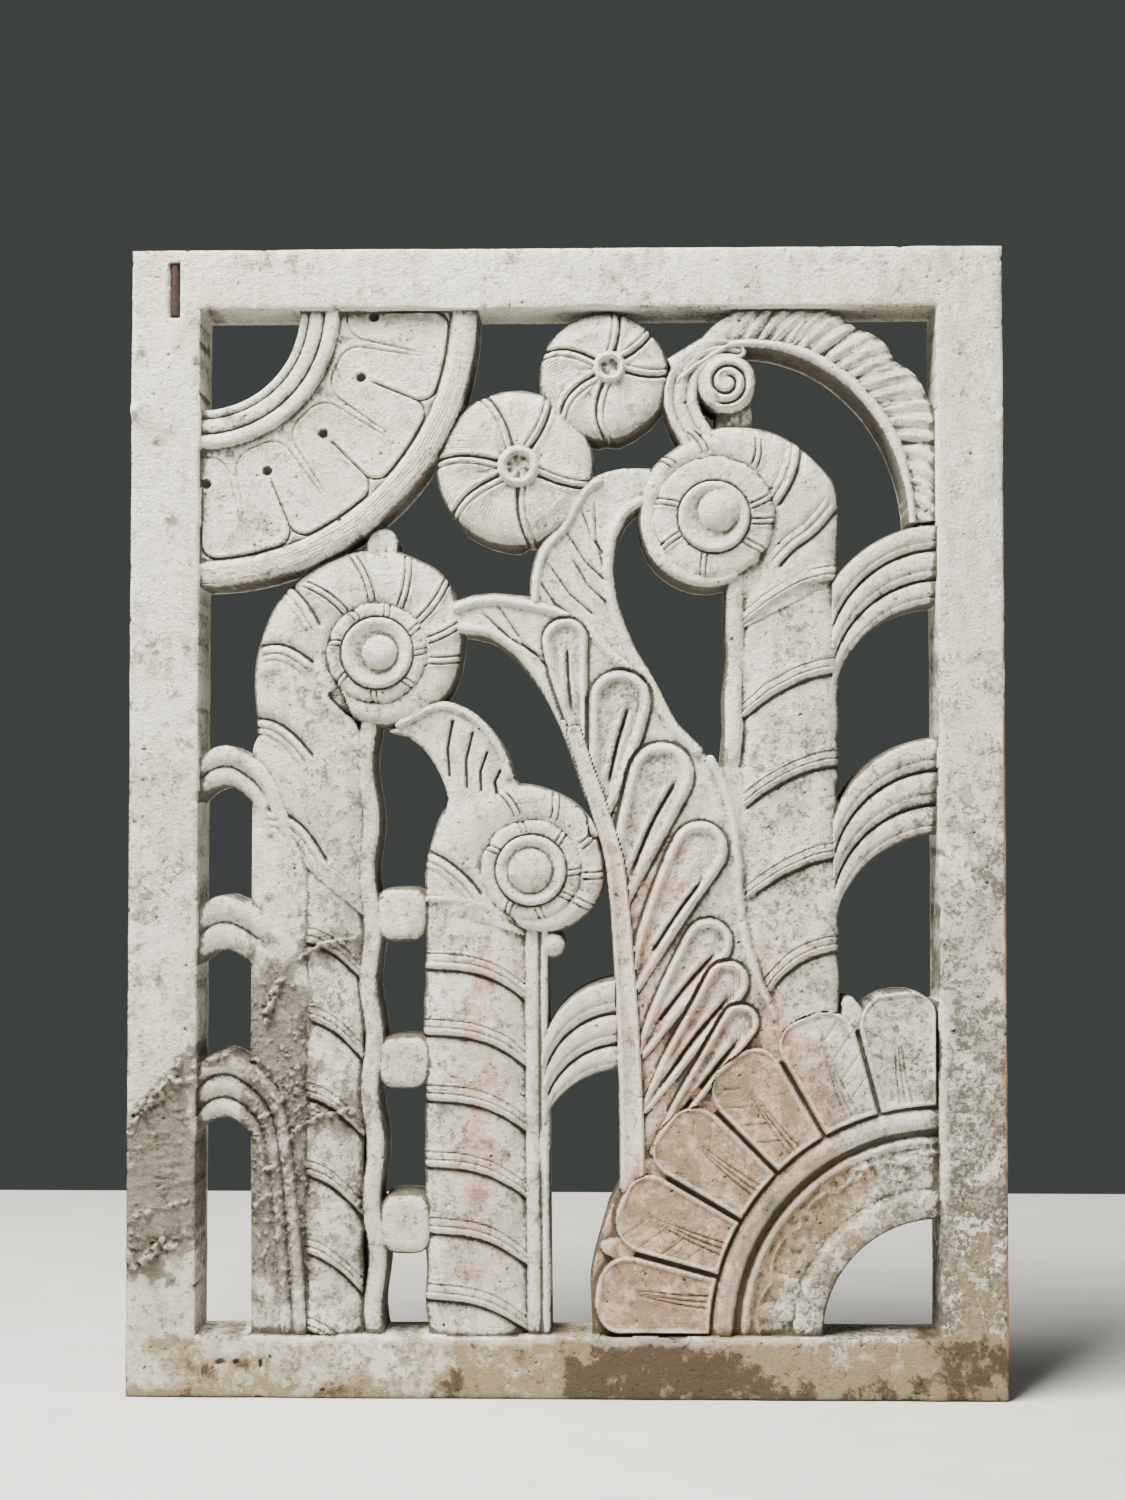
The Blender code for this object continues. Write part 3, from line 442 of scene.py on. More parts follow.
def scaled_column(left, right, falls_left, first, pitch, fall, curve, top, section, seed):
    """Overlapping scales between two edges, each joint falling across the column by a curve."""
    patch = patch_round([(left(top) - 3, BOTTOM - 6), (right + 3, top)])
    x, z = X[patch], Z[patch]
    left_edge = left(z) + 0.5 * mottle(9, seed)[patch]
    right_edge = right + 0.4 * mottle(9, seed + 1)[patch]
    share = (x - left_edge) / (right_edge - left_edge)
    over = unit(share if falls_left else 1 - share)
    line = z + fall * over ** curve
    phase = ((line - first) / pitch) % 1
    surface = profile(share, section) + profile(phase, SCALE_DROP)
    surface += 4.5 * unit(1 - (top - line) / 22)
    above = phase * pitch
    for line_above in (6.3, 11.6):
        surface += cut_line(np.abs(above - line_above), 0.9, 1.4)
    stroke = np.sin((line + 7 * share) / 3.7 * 2 * math.pi + mottle(8, seed + 2)[patch])
    surface += 0.22 * stroke * (0.4 + unit(mottle(12, seed + 3)[patch])) * (above > 13)
    inner = np.minimum(np.minimum(x - left_edge, right_edge - x), top - line)
    stamp(patch, inner, surface)


RIBBON = [(-1, 12.5), (-0.85, 9.4), (-0.6, 7.7), (-0.3, 7.1), (0.3, 7.1), (0.6, 7.7), (0.85, 9.4), (1, 12.5)]

right_eye = (104, 611)
crook(right_eye, [
    (3, 88), (15, 88), (24, 84), (34, 80), (52, 74.5), (68, 69), (82, 65), (98, 61), (118, 56.5), (138, 56),
    (158, 54.5), (176, 53), (195, 53), (215, 53.5), (237, 52.5), (262, 51), (278, 49), (292, 46)],
    40, [((124, 533), (190.5, 567)), ((132, 560), (190.8, 590))])
scaled_column(
    lambda z: 121 + 0.3 * np.clip(330 - z, 0, 400) + 1.5 * np.sin(z / 14), 190.5,
    False, 565, 64.5, 34, 1.8, 596,
    [(0, 13), (0.04, 9), (0.1, 6), (0.28, 4.6), (0.55, 4), (0.85, 4.6), (0.95, 7), (1, 11)], 51)
creases(right_eye, (52, 97, 128), 45, 64, 9)
rosette(right_eye, 25, 43.5, (108, 616), 16, (16, -7, -38, -104, -153, 161))
plate([(117, 556), (117, 582), (134, 592), (144, 572), (132, 552)], 8.5, 2)


def joint(route, back=False, fade=0.06):
    """Where one scale laps the next: a deep cut with two fine ridges on one side."""
    path = smooth(route)[::-1] if back else smooth(route)
    patch = patch_round(path, 16)
    away, share, side = from_path(patch, path)
    drop = np.interp(side * away, (-7, -2.5, -0.9, 0, 1, 2.2, 4.8, 6, 7.2, 9.6, 10.8, 12, 15),
                     (0, 0.9, 3.2, 3.6, 0.4, -0.9, -0.6, 1.3, -0.5, -0.4, 1.0, -0.1, 0))
    sink(patch, drop * unit(np.minimum(share, 1 - share) / fade))


joint([(148, 575), (160, 588), (176, 600), (191, 618)])
joint([(148, 618), (158, 634), (164, 652), (166, 674)])
band(smooth([(119, 568), (119, 530), (120, 510), (117.5, 485), (118, 462), (116, 440), (115, 415), (118, 390),
             (119, 362), (122, 335), (130, 305), (132, 280), (131, 255)], 3), 7, RIBBON)

middle_eye = (-24, 364)
crook(middle_eye, [
    (178, 74), (162, 73), (146, 74.5), (128, 70), (110, 64), (98, 61.5), (76, 58), (53.5, 56.5), (35, 54),
    (18, 51.5), (0, 51.5), (-15, 52.5), (-27.5, 51.5), (-39, 50), (-53, 48.5), (-78, 45), (-98, 41.5),
    (-114, 39), (-131, 35)], 32, [((-27, 318), (-98.5, 341)), ((-40, 336), (-98.5, 356))])
scaled_column(
    lambda z: -98.5 + 0.0108 * np.clip(250 - z, 0, 400) + 0.8 * np.sin(z / 15), -26,
    True, 340, 45.8, 24, 3, 362,
    [(0, 12), (0.04, 8.5), (0.1, 6), (0.22, 4.7), (0.45, 4), (0.7, 4.8), (0.84, 7), (0.92, 9.2),
     (1, 10.5)], 61)
turned(middle_eye, [(0, 8.5), (40, 8.5), (43, 11)])
creases(middle_eye, (26, 66, 104), 38, 60, 8)
rosette(middle_eye, 24.5, 36, (-25, 363.5), 17, (-4, -38, -80, -122, 45, 100, 150))
creases(middle_eye, (-6, -34), 36, 51, 3, 2.6)
joint([(-97, 377), (-84, 371), (-68, 358), (-58, 345)], back=True)
band([(-20, 326), (-19.6, 200), (-18, 36)], 8.3,
     [(-1, 12.5), (-0.9, 8.5), (-0.75, 7.2), (-0.5, 7.2), (-0.3, 9.8), (-0.15, 10), (0, 7.6), (0.35, 7.2),
      (0.8, 7.8), (1, 10.5)])
ball((-9, 312), 9.5, 5, 9)

left_eye = (-133, 515)
crook(left_eye, [
    (194, 89), (180, 84.5), (168, 81.5), (154, 80), (140, 77.5), (120, 76), (103, 75.5), (80, 75),
    (67.6, 73.5), (54.4, 73.8), (41.6, 70.8), (27, 66), (14, 63), (0, 60), (-15, 59), (-29, 58.2),
    (-41, 56.7), (-58, 55), (-78, 51.7), (-98, 49.5), (-120, 46.5), (-141, 44)],
    32, [((-141, 332), (-184, 368)), ((-141, 452), (-215, 440))])
band([(-199, 445), (-199.5, 250), (-198, 34)], 21,
     [(-1, 13), (-0.9, 10.5), (-0.6, 8.6), (0, 8.2), (0.7, 9.5), (1, 11)])
scaled_column(lambda z: -181, -141, True, 312, 54, 28, 1.8, 395,
              [(0, 10), (0.06, 8), (0.14, 6), (0.4, 4.6), (0.65, 4.8), (0.85, 7), (1, 11)], 71)
left_hub = (-132, 516)
turned(left_hub, [(0, 8.5), (44, 8.5), (47, 11)])
creases(left_hub, (-8, 14, 38, 64, 96, 128), 36, 72, 9)
rosette(left_hub, 25, 36, (-130, 516), 13, (0, 30, 75, 120, 165, -145, -95, -45))
for route in ([(-219, 470), (-205, 468), (-190, 458), (-176, 442)],
              [(-216, 520), (-203, 522), (-190, 518), (-176, 508)],
              [(-196, 566), (-188, 558), (-180, 548), (-172, 534)],
              [(-217, 405), (-200, 404), (-182, 392), (-166, 368)]):
    joint(route, back=True)
plate([polar((-129, 594), 11, 11.25 * step) for step in range(17)] + [(-140, 580), (-118, 580)], 9, 3)
ripple = []
for step in range(41):
    z = 466 - 10.8 * step
    ripple.append((-139.5 + 0.2 * step + 2.2 * math.sin(2 * math.pi * z / 76), z))
band(ripple, 6.8, RIBBON)


# The ribbed arches that spring from the stiles: three ribs, each a step lower than the last.
def hanging_arc(top, foot):
    """An arc that leaves the point top level and comes down to the point foot."""
    across = abs(top[0] - foot[0])
    drop = top[1] - foot[1]
    size = (across ** 2 + drop ** 2) / (2 * drop)
    side = math.copysign(1, foot[0] - top[0])
    turn = math.asin(min(1.0, across / size))
    if drop > size:
        turn = math.pi - turn
    return [(top[0] + side * size * math.sin(turn * step / 24),
             top[1] - size * (1 - math.cos(turn * step / 24))) for step in range(25)]


RIB = [(0, 10.5), (0.05, 6.6), (0.11, 4.7), (0.2, 4.1), (0.5, 4.2), (0.62, 4.7), (0.66, 5.9), (0.71, 5.2),
       (0.86, 5.8), (0.95, 8.0), (1, 11)]
RIB_STEP = 1.6


def ribs(curves, section, count=24, fade=0.0):
    rows = []
    for row in range(count + 1):
        points = [along_share(curve, row / count) for curve in curves]
        line = []
        for rib, (a, b) in enumerate(zip(points, points[1:])):
            for share, level in section if rib == 0 else section[1:]:
                level += RIB_STEP * rib + fade * (row / count) ** 3
                line.append(along_share((a, b), share) + (level,))
        rows.append(line)
    loft(rows)


for side_x, tops, foot_x, feet in ((RIGHT + 4, (606, 588, 567, 549.5), 187, (566, 534, 508, 482)),
                                   (RIGHT + 4, (457, 434, 410, 389), 187, (401, 374, 350, 318)),
                                   (40, (289, 265, 243, 225), -16, (228, 207, 184, 146))):
    ribs([hanging_arc((side_x, top), (foot_x, foot)) for top, foot in zip(tops, feet)], RIB)

LEFT_RIB = [(0, 8.5), (0.1, 6.2), (0.3, 5), (0.6, 5.2), (0.85, 7), (1, 9.5)]
for tops, spread, down, fade in (((452, 437, 423), 40, 340, 6), ((347, 328, 308.5), 60, 222, 6),
                                 ((238, 222, 206, 191.5), 42, 36, 0)):
    curves = []
    for rib, top in enumerate(tops):
        wide = spread * (1 - rib / len(tops))
        curves.append(smooth([(LEFT - 4, top - 14), (-250, top - 4), (-240, top - 0.5), (-230, top - 3),
                              (-221 + 0.25 * wide, top - 16), (-221 + 0.6 * wide, top - 40),
                              (-221 + 0.85 * wide, (top - 40 + down) / 2), (-221 + wide, down)]))
    ribs(curves, LEFT_RIB, 28, fade)

# The blade between the left and middle rosettes, with four slits, and the beads below it.
blade = smooth([(-120, 463), (-108, 469), (-96, 478), (-83, 480.5), (-72, 478), (-60, 470), (-50, 458),
                (-42, 444), (-37, 431), (-32, 422)], 3)
blade += [(-30, 405), (-60, 392), (-85, 396)]
blade += smooth([(-82, 414), (-86, 427), (-93, 440), (-102, 451), (-113, 458), (-124, 461)], 3)
plate(blade, 6.5, 2.5)
band(smooth([(-116, 466), (-104, 472), (-92, 478), (-80, 478), (-66, 471.5), (-54, 460), (-45, 446),
             (-39.5, 430)], 3), 3.4, [(-1, 8), (-0.6, 5), (0, 4), (0.6, 5), (1, 8)])
for top, foot in (((-79, 468), (-81, 430)), ((-65, 460), (-69, 422)), ((-55, 446), (-59, 420)),
                  ((-46, 433), (-48, 418))):
    groove([foot, ((top[0] + foot[0]) / 2 - 2.5, (top[1] + foot[1]) / 2), top], 3.4, 11.5)
for x, z, tall in ((-115, 333, 19), (-113, 230, 18.5), (-111.5, 118, 21)):
    plate([(x + 19 * math.copysign(abs(math.cos(t)) ** 0.55, math.cos(t)),
            z + tall * math.copysign(abs(math.sin(t)) ** 0.8, math.sin(t)))
           for t in (2 * math.pi * step / 48 for step in range(48))], 8, 5)

plate([(19, 40), (17, 80), (20, 95), (30, 130), (42, 152), (70, 150), (90, 60), (70, 40)], 11.5, 3)

# The great fern leaf in the middle: a rimmed blade, a stem, and lobes that close like loops.
leaf_outer = [(60, 646), (43, 646), (31, 644), (20, 640), (11, 634), (3, 621), (-5, 606), (-15, 596),
              (-21, 585), (-24.5, 570), (-25, 556)]
leaf_under = [
    (-80, 531), (-62, 529), (-50, 524), (-35, 512), (-20, 494), (-10, 480), (0, 458), (8, 437), (15, 415),
    (22, 400), (27, 385), (29.5, 360), (32, 330), (34, 300), (36.5, 260), (38, 215), (40, 170), (42, 146)]
leaf_foot = [(90, 140), (160, 235), (152, 262), (143, 300), (134, 350), (128, 400), (124, 436)]
leaf_inner = [(104, 437), (96, 447), (88, 455), (80, 463), (73, 475), (60, 500), (52, 513), (44, 530),
              (38, 547), (35, 562), (34, 577), (36, 593), (39.5, 604), (45, 614), (53, 621), (62, 623)]
plate(smooth(leaf_outer, 3) + [(-35, 557), (-50, 558.5), (-65, 557), (-80, 552)] + smooth(leaf_under, 3)
      + leaf_foot + smooth(leaf_inner, 3), 7.8, 2.5)
LEAF_RIM = [(-1, 9), (-0.7, 6.6), (-0.25, 5.1), (0.25, 5.1), (0.7, 6.6), (1, 9)]
for wide, path in (
        (4.6, [(x - 4.5, z) for x, z in leaf_inner[1:]]),
        (4.2, [(-76, 548), (-62, 552), (-48, 553), (-33, 551), (-15, 547), (2, 541), (18, 530), (30, 516),
               (44, 505)]),
        (4.6, [(-72, 534), (-52, 530), (-34, 518), (-19, 500), (-7, 481), (3, 458), (11, 436), (18, 415)]),
        (3.6, [(x + 4, z - 3) for x, z in leaf_outer[3:]])):
    band(smooth(path, 3), wide, LEAF_RIM)


def lobe(spine, wide, slit):
    """A lobe along a spine: a scoop with a raised rim, laid over the lobe above it, and a slit."""
    path = smooth(spine, 5)
    patch = patch_round(path, wide + 5)
    away, share, side = from_path(patch, path)
    length = sum(math.dist(a, b) for a, b in zip(path, path[1:]))
    here = share * length
    body = wide * (0.2 + 0.8 * unit(here / (length - wide)) ** 0.75)
    from_cap = in_turn(along_share(path, 1 - wide / length), patch)[0]
    inner = np.where(here > length - wide, wide - from_cap, body - away)
    inner = np.where(away > 1.3 * wide, -9, inner)
    rim = np.interp(inner / wide, (0, 0.05, 0.13, 0.24, 0.38, 0.6, 0.85, 1),
                    (8.6, 5.6, 3.8, 3.8, 6.6, 7.0, 6.0, 5.6))
    rim += 2.0 * unit(1 - here / (0.45 * length))
    rim += 0.3 * np.sin((here + 1.6 * away) / 3.6 * 2 * math.pi) * (inner > 0.35 * wide)
    on_leaf = depth[patch] < EMPTY - 1
    beside_it = on_leaf & (inner < 0) & (inner > -2.4) & (share > 0.25)
    lower = np.where(beside_it, np.maximum(depth[patch], 9.4 + 0.5 * inner), depth[patch])
    depth[patch] = np.where(on_leaf & (inner > 0), rim, lower)
    cut(smooth(slit), 2.1, 5.5)


for spine, wide, slit in (
        ([(12, 448), (6, 480), (1, 510), (-1, 537)], 16, [(4, 476), (2, 498), (1, 520)]),
        ([(20, 390), (29, 428), (36, 465), (40, 501)], 22, [(30, 424), (36, 452), (44, 478)]),
        ([(34, 330), (46, 372), (60, 412), (74, 448)], 23, [(46, 362), (60, 396), (77, 426)]),
        ([(44, 275), (62, 318), (82, 358), (101, 391)], 20, [(60, 306), (78, 334), (96, 358)]),
        ([(50, 232), (68, 264), (88, 296), (107, 325)], 17, [(64, 258), (84, 284), (104, 306)]),
        ([(54, 196), (76, 232), (98, 264), (119, 296)], 15, [(66, 214), (90, 248), (114, 276)]),
        ([(60, 168), (84, 204), (106, 236), (127, 266)], 13, [(72, 184), (96, 216), (120, 246)])):
    lobe(spine, wide, slit)
band(smooth([(47, 146), (46, 200), (44, 250), (41, 300), (38, 340), (34, 372), (26, 400), (16, 430),
             (6, 460)], 3), lambda t: 9.5 - 4 * t,
     [(-1, 8.5), (-0.85, 4.8), (-0.65, 4.2), (-0.45, 5.4), (0, 5.8), (0.4, 5.4), (0.6, 4.0), (0.82, 4.4),
      (1, 9.5)], over=True)
band(smooth([(101, 441), (110, 424), (117, 398), (120, 370), (122, 340), (127, 310), (136, 284),
             (146, 262)], 3), 3.4, [(-1, 8), (-0.5, 5.4), (0, 4.8), (0.5, 5.4), (1, 8)])
for start, end in (
        ((4, 584), (31, 549)), ((-13, 580), (23, 540)), ((20, 626), (27, 574)), ((0, 602), (32, 563)),
        ((11, 617), (31, 580)), ((-18, 566), (8, 540)), ((-60, 546), (-14, 512)), ((-48, 550), (-6, 500))):
    cut([start, ((start[0] + end[0]) / 2 - 2, (start[1] + end[1]) / 2 - 3), end], 1.5, 2.2)

# The fan of petals in the bottom right corner, on a ring whose carving is almost worn away.
fan = (RIGHT, BOTTOM)
fan_tip = 240
petal_turn = 15
patch = patch_round([fan, (RIGHT - fan_tip, BOTTOM + fan_tip)], 8)
radius, turn = in_turn(fan, patch, -1, 1)
surface = profile(radius, (
    (81, 8), (82, 6), (84, 4.8), (92, 4.3), (99, 4.8), (101, 6.5), (102.5, 8.2), (131, 8.4), (132.6, 7),
    (134, 6), (136.5, 6), (138, 9.4), (139, 10.4), (142, 10.4), (143, 8), (145, 4.7), (149, 4), (154, 4.2),
    (156.5, 6), (158.5, 9.4), (232, 10.5)))
worn = (radius > 102) & (radius < 132)
surface += worn * (-0.6 * np.clip(mottle(5, 21)[patch], -0.8, 1.8))
scallop = radius - 122 - 5 * np.abs(np.sin(np.radians(turn * 9 + 20)))
surface -= worn * (1.5 * np.exp(-(scallop / 1.3) ** 2) + 0.5 * (scallop > 0))
in_field = np.minimum(RIGHT - X[patch], Z[patch] - BOTTOM)
stamp(patch, np.minimum(in_field, np.minimum(radius - 81, 231 - radius)), surface, over=True)
middle = (np.floor(turn / petal_turn) + 0.5) * petal_turn
lean = np.where(np.floor(turn / petal_turn) % 2 == 0, 1.0, -1.0)
off_middle = np.radians(turn - middle) * radius
half = np.radians(petal_turn / 2 - 0.28) * radius
tip_share = unit((radius - 216) / (fan_tip - 216))
half_here = half * np.sqrt(unit(1 - tip_share ** 2.6))
inner = half_here - np.abs(off_middle + 2 * lean * tip_share)
inner = np.minimum(inner, np.minimum(radius - 158.5, fan_tip - radius))
inner[(turn < -0.5) | (turn > 90.5)] = -9
vein = np.zeros(inner.shape)
for lean_vein in (-0.055, 0.0, 0.06):
    away = np.abs(off_middle - lean * (2 + lean_vein * (238 - radius)) + 0.4 * np.sin(radius / 9))
    vein += cut_line(away, 1.0, 1.3) * unit((radius - 160) / 4) * unit((222 - radius) / 14)
for chevron in range(4):
    bow = radius - 172 - 15 * chevron - 0.35 * np.abs(off_middle) ** 1.2
    vein += cut_line(np.abs(bow), 0.9, 0.8) * (np.abs(off_middle) > 5) * (off_middle * lean > 0)
surface = np.interp(inner, (0, 0.7, 1.8, 3.0, 4.4, 7), (10, 7, 3.9, 3.9, 5.4, 5.0)) + vein
surface += 0.16 * mottle(3.5, 23)[patch] * (inner > 4)
stamp(patch, np.minimum(in_field, inner), surface, over=True)
DART = ((218, -1.2), (232, -1.9), (241, -0.8), (243, 0.2), (240, 1.2), (231, 1.9), (218, 1.2))
for dart in range(1, 6):
    plate([polar(fan, out, 180 - petal_turn * dart + aside) for out, aside in DART], 6.6, 2.0)

for x, z, size in ((160, 110, 9), (166, 123, 8), (186, 146, 9), (202, 155, 6)):
    ball((x, z), size, 6.4, 2.2)
    pit((x + 0.5, z - 0.5), size * 0.5, 7.8)
worn_block = [(-1, 8.4), (-0.7, 7.2), (0, 6.7), (0.7, 7.2), (1, 8.4)]
for angle, inner_end, wide in ((96, 108, 7), (108, 112, 5.5), (160, 108, 4.5), (171, 106, 6.5)):
    band([polar(fan, inner_end, angle), polar(fan, 124, angle + 1)], wide, worn_block)

# The concrete has broken away along the top left reinforcing rod and left a rough slot round it.
rod_low, rod_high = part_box("reinforcement_rod")
rod_x = (rod_low[0] + rod_high[0]) / 2 / MM
rod_half = (rod_high[0] - rod_low[0]) / 2 / MM
rod_foot, rod_head = rod_low[2] / MM, rod_high[2] / MM
patch = patch_round([(rod_x - 12, rod_foot), (rod_x + 12, rod_head)])
beyond = np.maximum(rod_foot - Z[patch], Z[patch] - rod_head)
beside = np.maximum(np.abs(X[patch] - rod_x) - rod_half, beyond)
chipped = 2.0 * unit(1 - (beside - 0.6) / np.clip(1.2 + 0.7 * mottle(4, 12)[patch], 0.4, 3))
depth[patch] += np.where(beside > 0.6, chipped, 9)


# A vine has left its rootlets and soil on the lower left: a gritty skin with lumpy root lines.
def spot(x, z, wide, tall):
    """A soft round zone of the face, from 1 in the middle to 0."""
    return np.exp(-(((X - x) / wide) ** 2 + ((Z - z) / tall) ** 2))


def rises(value, width):
    """A soft step: 0 where value is well below zero, 1 where it is well above."""
    return unit(value / width + 0.5)


ragged = 7 * mottle(7, 14) + 3 * mottle(2.5, 13)
on_stile = rises(183 + 1.3 * (X + 305) - Z + ragged, 16) * rises(Z - 82 - 0.55 * (X + 305) + ragged, 16)
on_ground = rises(X + 226, 8) * rises(-176 - X + 0.5 * ragged, 10) * rises(Z - 74 + ragged, 34)
crust = np.maximum(on_stile * (X < LEFT), on_ground * rises(306 - Z + ragged, 34))
low_crust = unit(spot(-164, 192, 26, 17) + spot(-162, 312, 26, 13) + 0.2 * ragged / 7)
crust = np.maximum(crust, 0.75 * low_crust)
crust = np.maximum(crust, 0.7 * unit(1.5 * spot(-240, 235, 24, 10) + 0.15 * ragged / 7) * (Z > 226))
crust = unit(crust * (0.85 + 0.2 * mottle(10, 17))) * (X < -136) * (Z > 44)
rng = np.random.default_rng(15)
lumps = np.clip(0.7 + 0.7 * mottle(2.4, 18), 0.15, 2.0)
ROOTS = (
    (3.0, (-304, 183), (-296, 199), (-284, 211), (-273, 220), (-268, 231)),
    (2.4, (-294, 197), (-283, 205), (-275, 216), (-258, 220)),
    (2.6, (-304, 99), (-298, 94), (-287, 99), (-271, 104)),
    (2.0, (-303, 92), (-296, 88), (-288, 96), (-280, 108)),
    (2.0, (-298, 125), (-287, 128), (-275, 131), (-262, 135)),
    (2.4, (-259, 228), (-249, 232), (-239, 236), (-227, 239), (-218, 248), (-209, 260), (-204, 281),
     (-199, 290)),
    (2.2, (-219, 232), (-213, 225), (-206, 209), (-196, 206), (-192, 216)),
    (2.2, (-213, 155), (-199, 162), (-190, 180), (-178, 188), (-166, 194), (-147, 197)),
    (2.2, (-187, 302), (-175, 311), (-161, 313), (-145, 316)),
    (1.8, (-149, 153), (-144, 134), (-146, 122)),
    (1.6, (-219, 190), (-208, 194), (-199, 203)),
    (1.6, (-216, 130), (-206, 138), (-196, 140), (-190, 150)),
    (1.5, (-214, 262), (-207, 268), (-199, 280), (-191, 284)),
    (1.4, (-212, 96), (-203, 108), (-194, 114)))
for thick, *path in ROOTS:
    path = smooth(path, 3)
    path = [(x + rng.uniform(-0.9, 0.9), z + rng.uniform(-0.9, 0.9)) for x, z in path]
    patch = patch_round(path, 5)
    away = from_path(patch, path)[0] + 0.5 * mottle(3, 20)[patch]
    ridge = thick * np.sqrt(unit(1 - unit(away / thick) ** 2))
    sink(patch, -ridge * lumps[patch])
    crust[patch] = np.maximum(crust[patch], np.clip(1.6 - away / thick, 0, 0.9))
ripples = np.clip(mottle(2.0, 16, 2.2) + 0.3, 0, 2.2)
grit = np.clip(mottle(1.6, 22) + 0.2, 0, 2.4)
sink(all_of_it, -crust * (0.55 * np.where(X < LEFT, ripples, grit) + 0.25 * grit))
for x, z, size in ((-303, 686, 5), (304, 678, 5), (-250, 741, 3)):
    sink(all_of_it, -2.2 * spot(x, z, size, size) * np.clip(1 + 0.5 * mottle(2.5, 24), 0, 2))
for x, z, wide, tall in ((-239, 24.5, 4.5, 3), (-228, 24.5, 2.6, 2.2), (-211, 23.4, 1.6, 3.4)):
    sink(all_of_it, 2.6 * unit(1.6 * spot(x, z, wide, tall) - 0.3))

# Weather on the face: sand grain that the rain has opened, shallow swells, pits and bruised arrises.
standing = depth < EMPTY - 1
depth += standing * (0.09 * mottle(4, 6) + 0.3 * mottle(30, 7))
depth += standing * np.clip(mottle(1.6, 8) - 2.3, 0, 1.2) * 1.6
bruises = np.clip(mottle(5, 9) - 1.5, 0, 2) * np.exp(-np.minimum(to_edge, np.abs(outside_field)) / 4)
depth += standing * (outside_field > 0) * 1.6 * bruises

# The face becomes a mesh by walking the grid's squares, so that every outline is a clean curve.
# At an outline the face drops by a small step, the worn edge of each opening.
rows, columns = X.shape
solid = reach > 0
index = -np.ones(X.shape, int)
index[solid] = np.arange(solid.sum())
WALL_STEP = 0.7
points = [np.stack((X[solid], depth[solid], Z[solid]), axis=1)]
count = solid.sum()


def crossings(first, second):
    """Points where the outline crosses the grid lines between two sets of neighbours."""
    global count
    a, b = reach[first], reach[second]
    crossing = (a > 0) != (b > 0)
    share = np.clip(np.where(crossing, a / np.where(crossing, a - b, 1), 0), 0.03, 0.97)
    numbers = -np.ones(a.shape, int)
    numbers[crossing] = count + np.arange(crossing.sum())
    count += crossing.sum()
    x = X[first] + (X[second] - X[first]) * share
    z = Z[first] + (Z[second] - Z[first]) * share
    level = np.where(a > 0, depth[first], depth[second]) + WALL_STEP
    points.append(np.stack((x[crossing], level[crossing], z[crossing]), axis=1))
    return numbers


every, but_last, but_first = slice(None), slice(0, -1), slice(1, None)
across = crossings((every, but_last), (every, but_first))
upward = crossings((but_last, every), (but_first, every))
ring = [index[:-1, :-1], across[:-1], index[:-1, 1:], upward[:, 1:], index[1:, 1:], across[1:],
        index[1:, :-1], upward[:, :-1]]
kind = sum((ring[2 * k] >= 0).astype(int) << k for k in range(4))
triangles = []
for case in range(1, 16):
    cells = kind == case
    if not cells.any():
        continue
    present = [numbers[cells] for numbers in ring if (numbers[cells] >= 0).all()]
    for second, third in zip(present[1:], present[2:]):
        triangles.append(np.stack((present[0], second, third), axis=1))
face = np.concatenate(points)
triangles = np.concatenate(triangles)
face[:, 0] *= MM
face[:, 1] = low[1] + face[:, 1] * MM
face[:, 2] = low[2] + face[:, 2] * MM

# The sides of the openings run straight back, and the back is struck off flat.
edges = np.concatenate((triangles[:, (0, 1)], triangles[:, (1, 2)], triangles[:, (2, 0)]))
keys = edges[:, 0] * len(face) + edges[:, 1]
rim = edges[~np.isin(keys, edges[:, 1] * len(face) + edges[:, 0])]
rim_points = np.unique(rim[:, 0])
back_of = -np.ones(len(face), int)
back_of[rim_points] = len(face) + np.arange(len(rim_points))
back = face[rim_points].copy()
back[:, 1] = high[1]
walls = np.concatenate((np.stack((rim[:, 1], rim[:, 0], back_of[rim[:, 0]]), axis=1),
                        np.stack((rim[:, 1], back_of[rim[:, 0]], back_of[rim[:, 1]]), axis=1)))
flat_points = [Vector((x, z)) for x, z in (back[:, (0, 2)] / MM).tolist()]
flat_rim = [tuple(edge) for edge in (back_of[rim] - len(face)).tolist()]
flat = delaunay_2d_cdt(flat_points, flat_rim, [], 0, 1e-6)
beside = {}
for number, (a, b, c) in enumerate(flat[2]):
    for edge in ((a, b), (b, c), (c, a)):
        beside[edge] = number
fence = set(flat_rim)
waiting = [beside[edge] for edge in flat_rim if edge in beside]
inside = set()
while waiting:
    number = waiting.pop()
    if number in inside:
        continue
    inside.add(number)
    a, b, c = flat[2][number]
    for edge in ((a, b), (b, c), (c, a)):
        if edge not in fence:
            waiting.append(beside[edge[1], edge[0]])
closing = np.array([flat[2][number] for number in sorted(inside)])
source = np.array([origin[0] for origin in flat[3]])
vertices = np.concatenate((face, back))
faces = np.concatenate((triangles, walls, (len(face) + source[closing])[:, ::-1]))


def sample(grid, x, z):
    """The grid's values at points, between its lines."""
    i = np.clip((x + WIDE / 2) / GRID, 0, columns - 1.001)
    j = np.clip(z / GRID, 0, rows - 1.001)
    column, row = i.astype(int), j.astype(int)
    right, up = i - column, j - row
    lower = grid[row, column] * (1 - right) + grid[row, column + 1] * right
    upper = grid[row + 1, column] * (1 - right) + grid[row + 1, column + 1] * right
    return lower * (1 - up) + upper * up


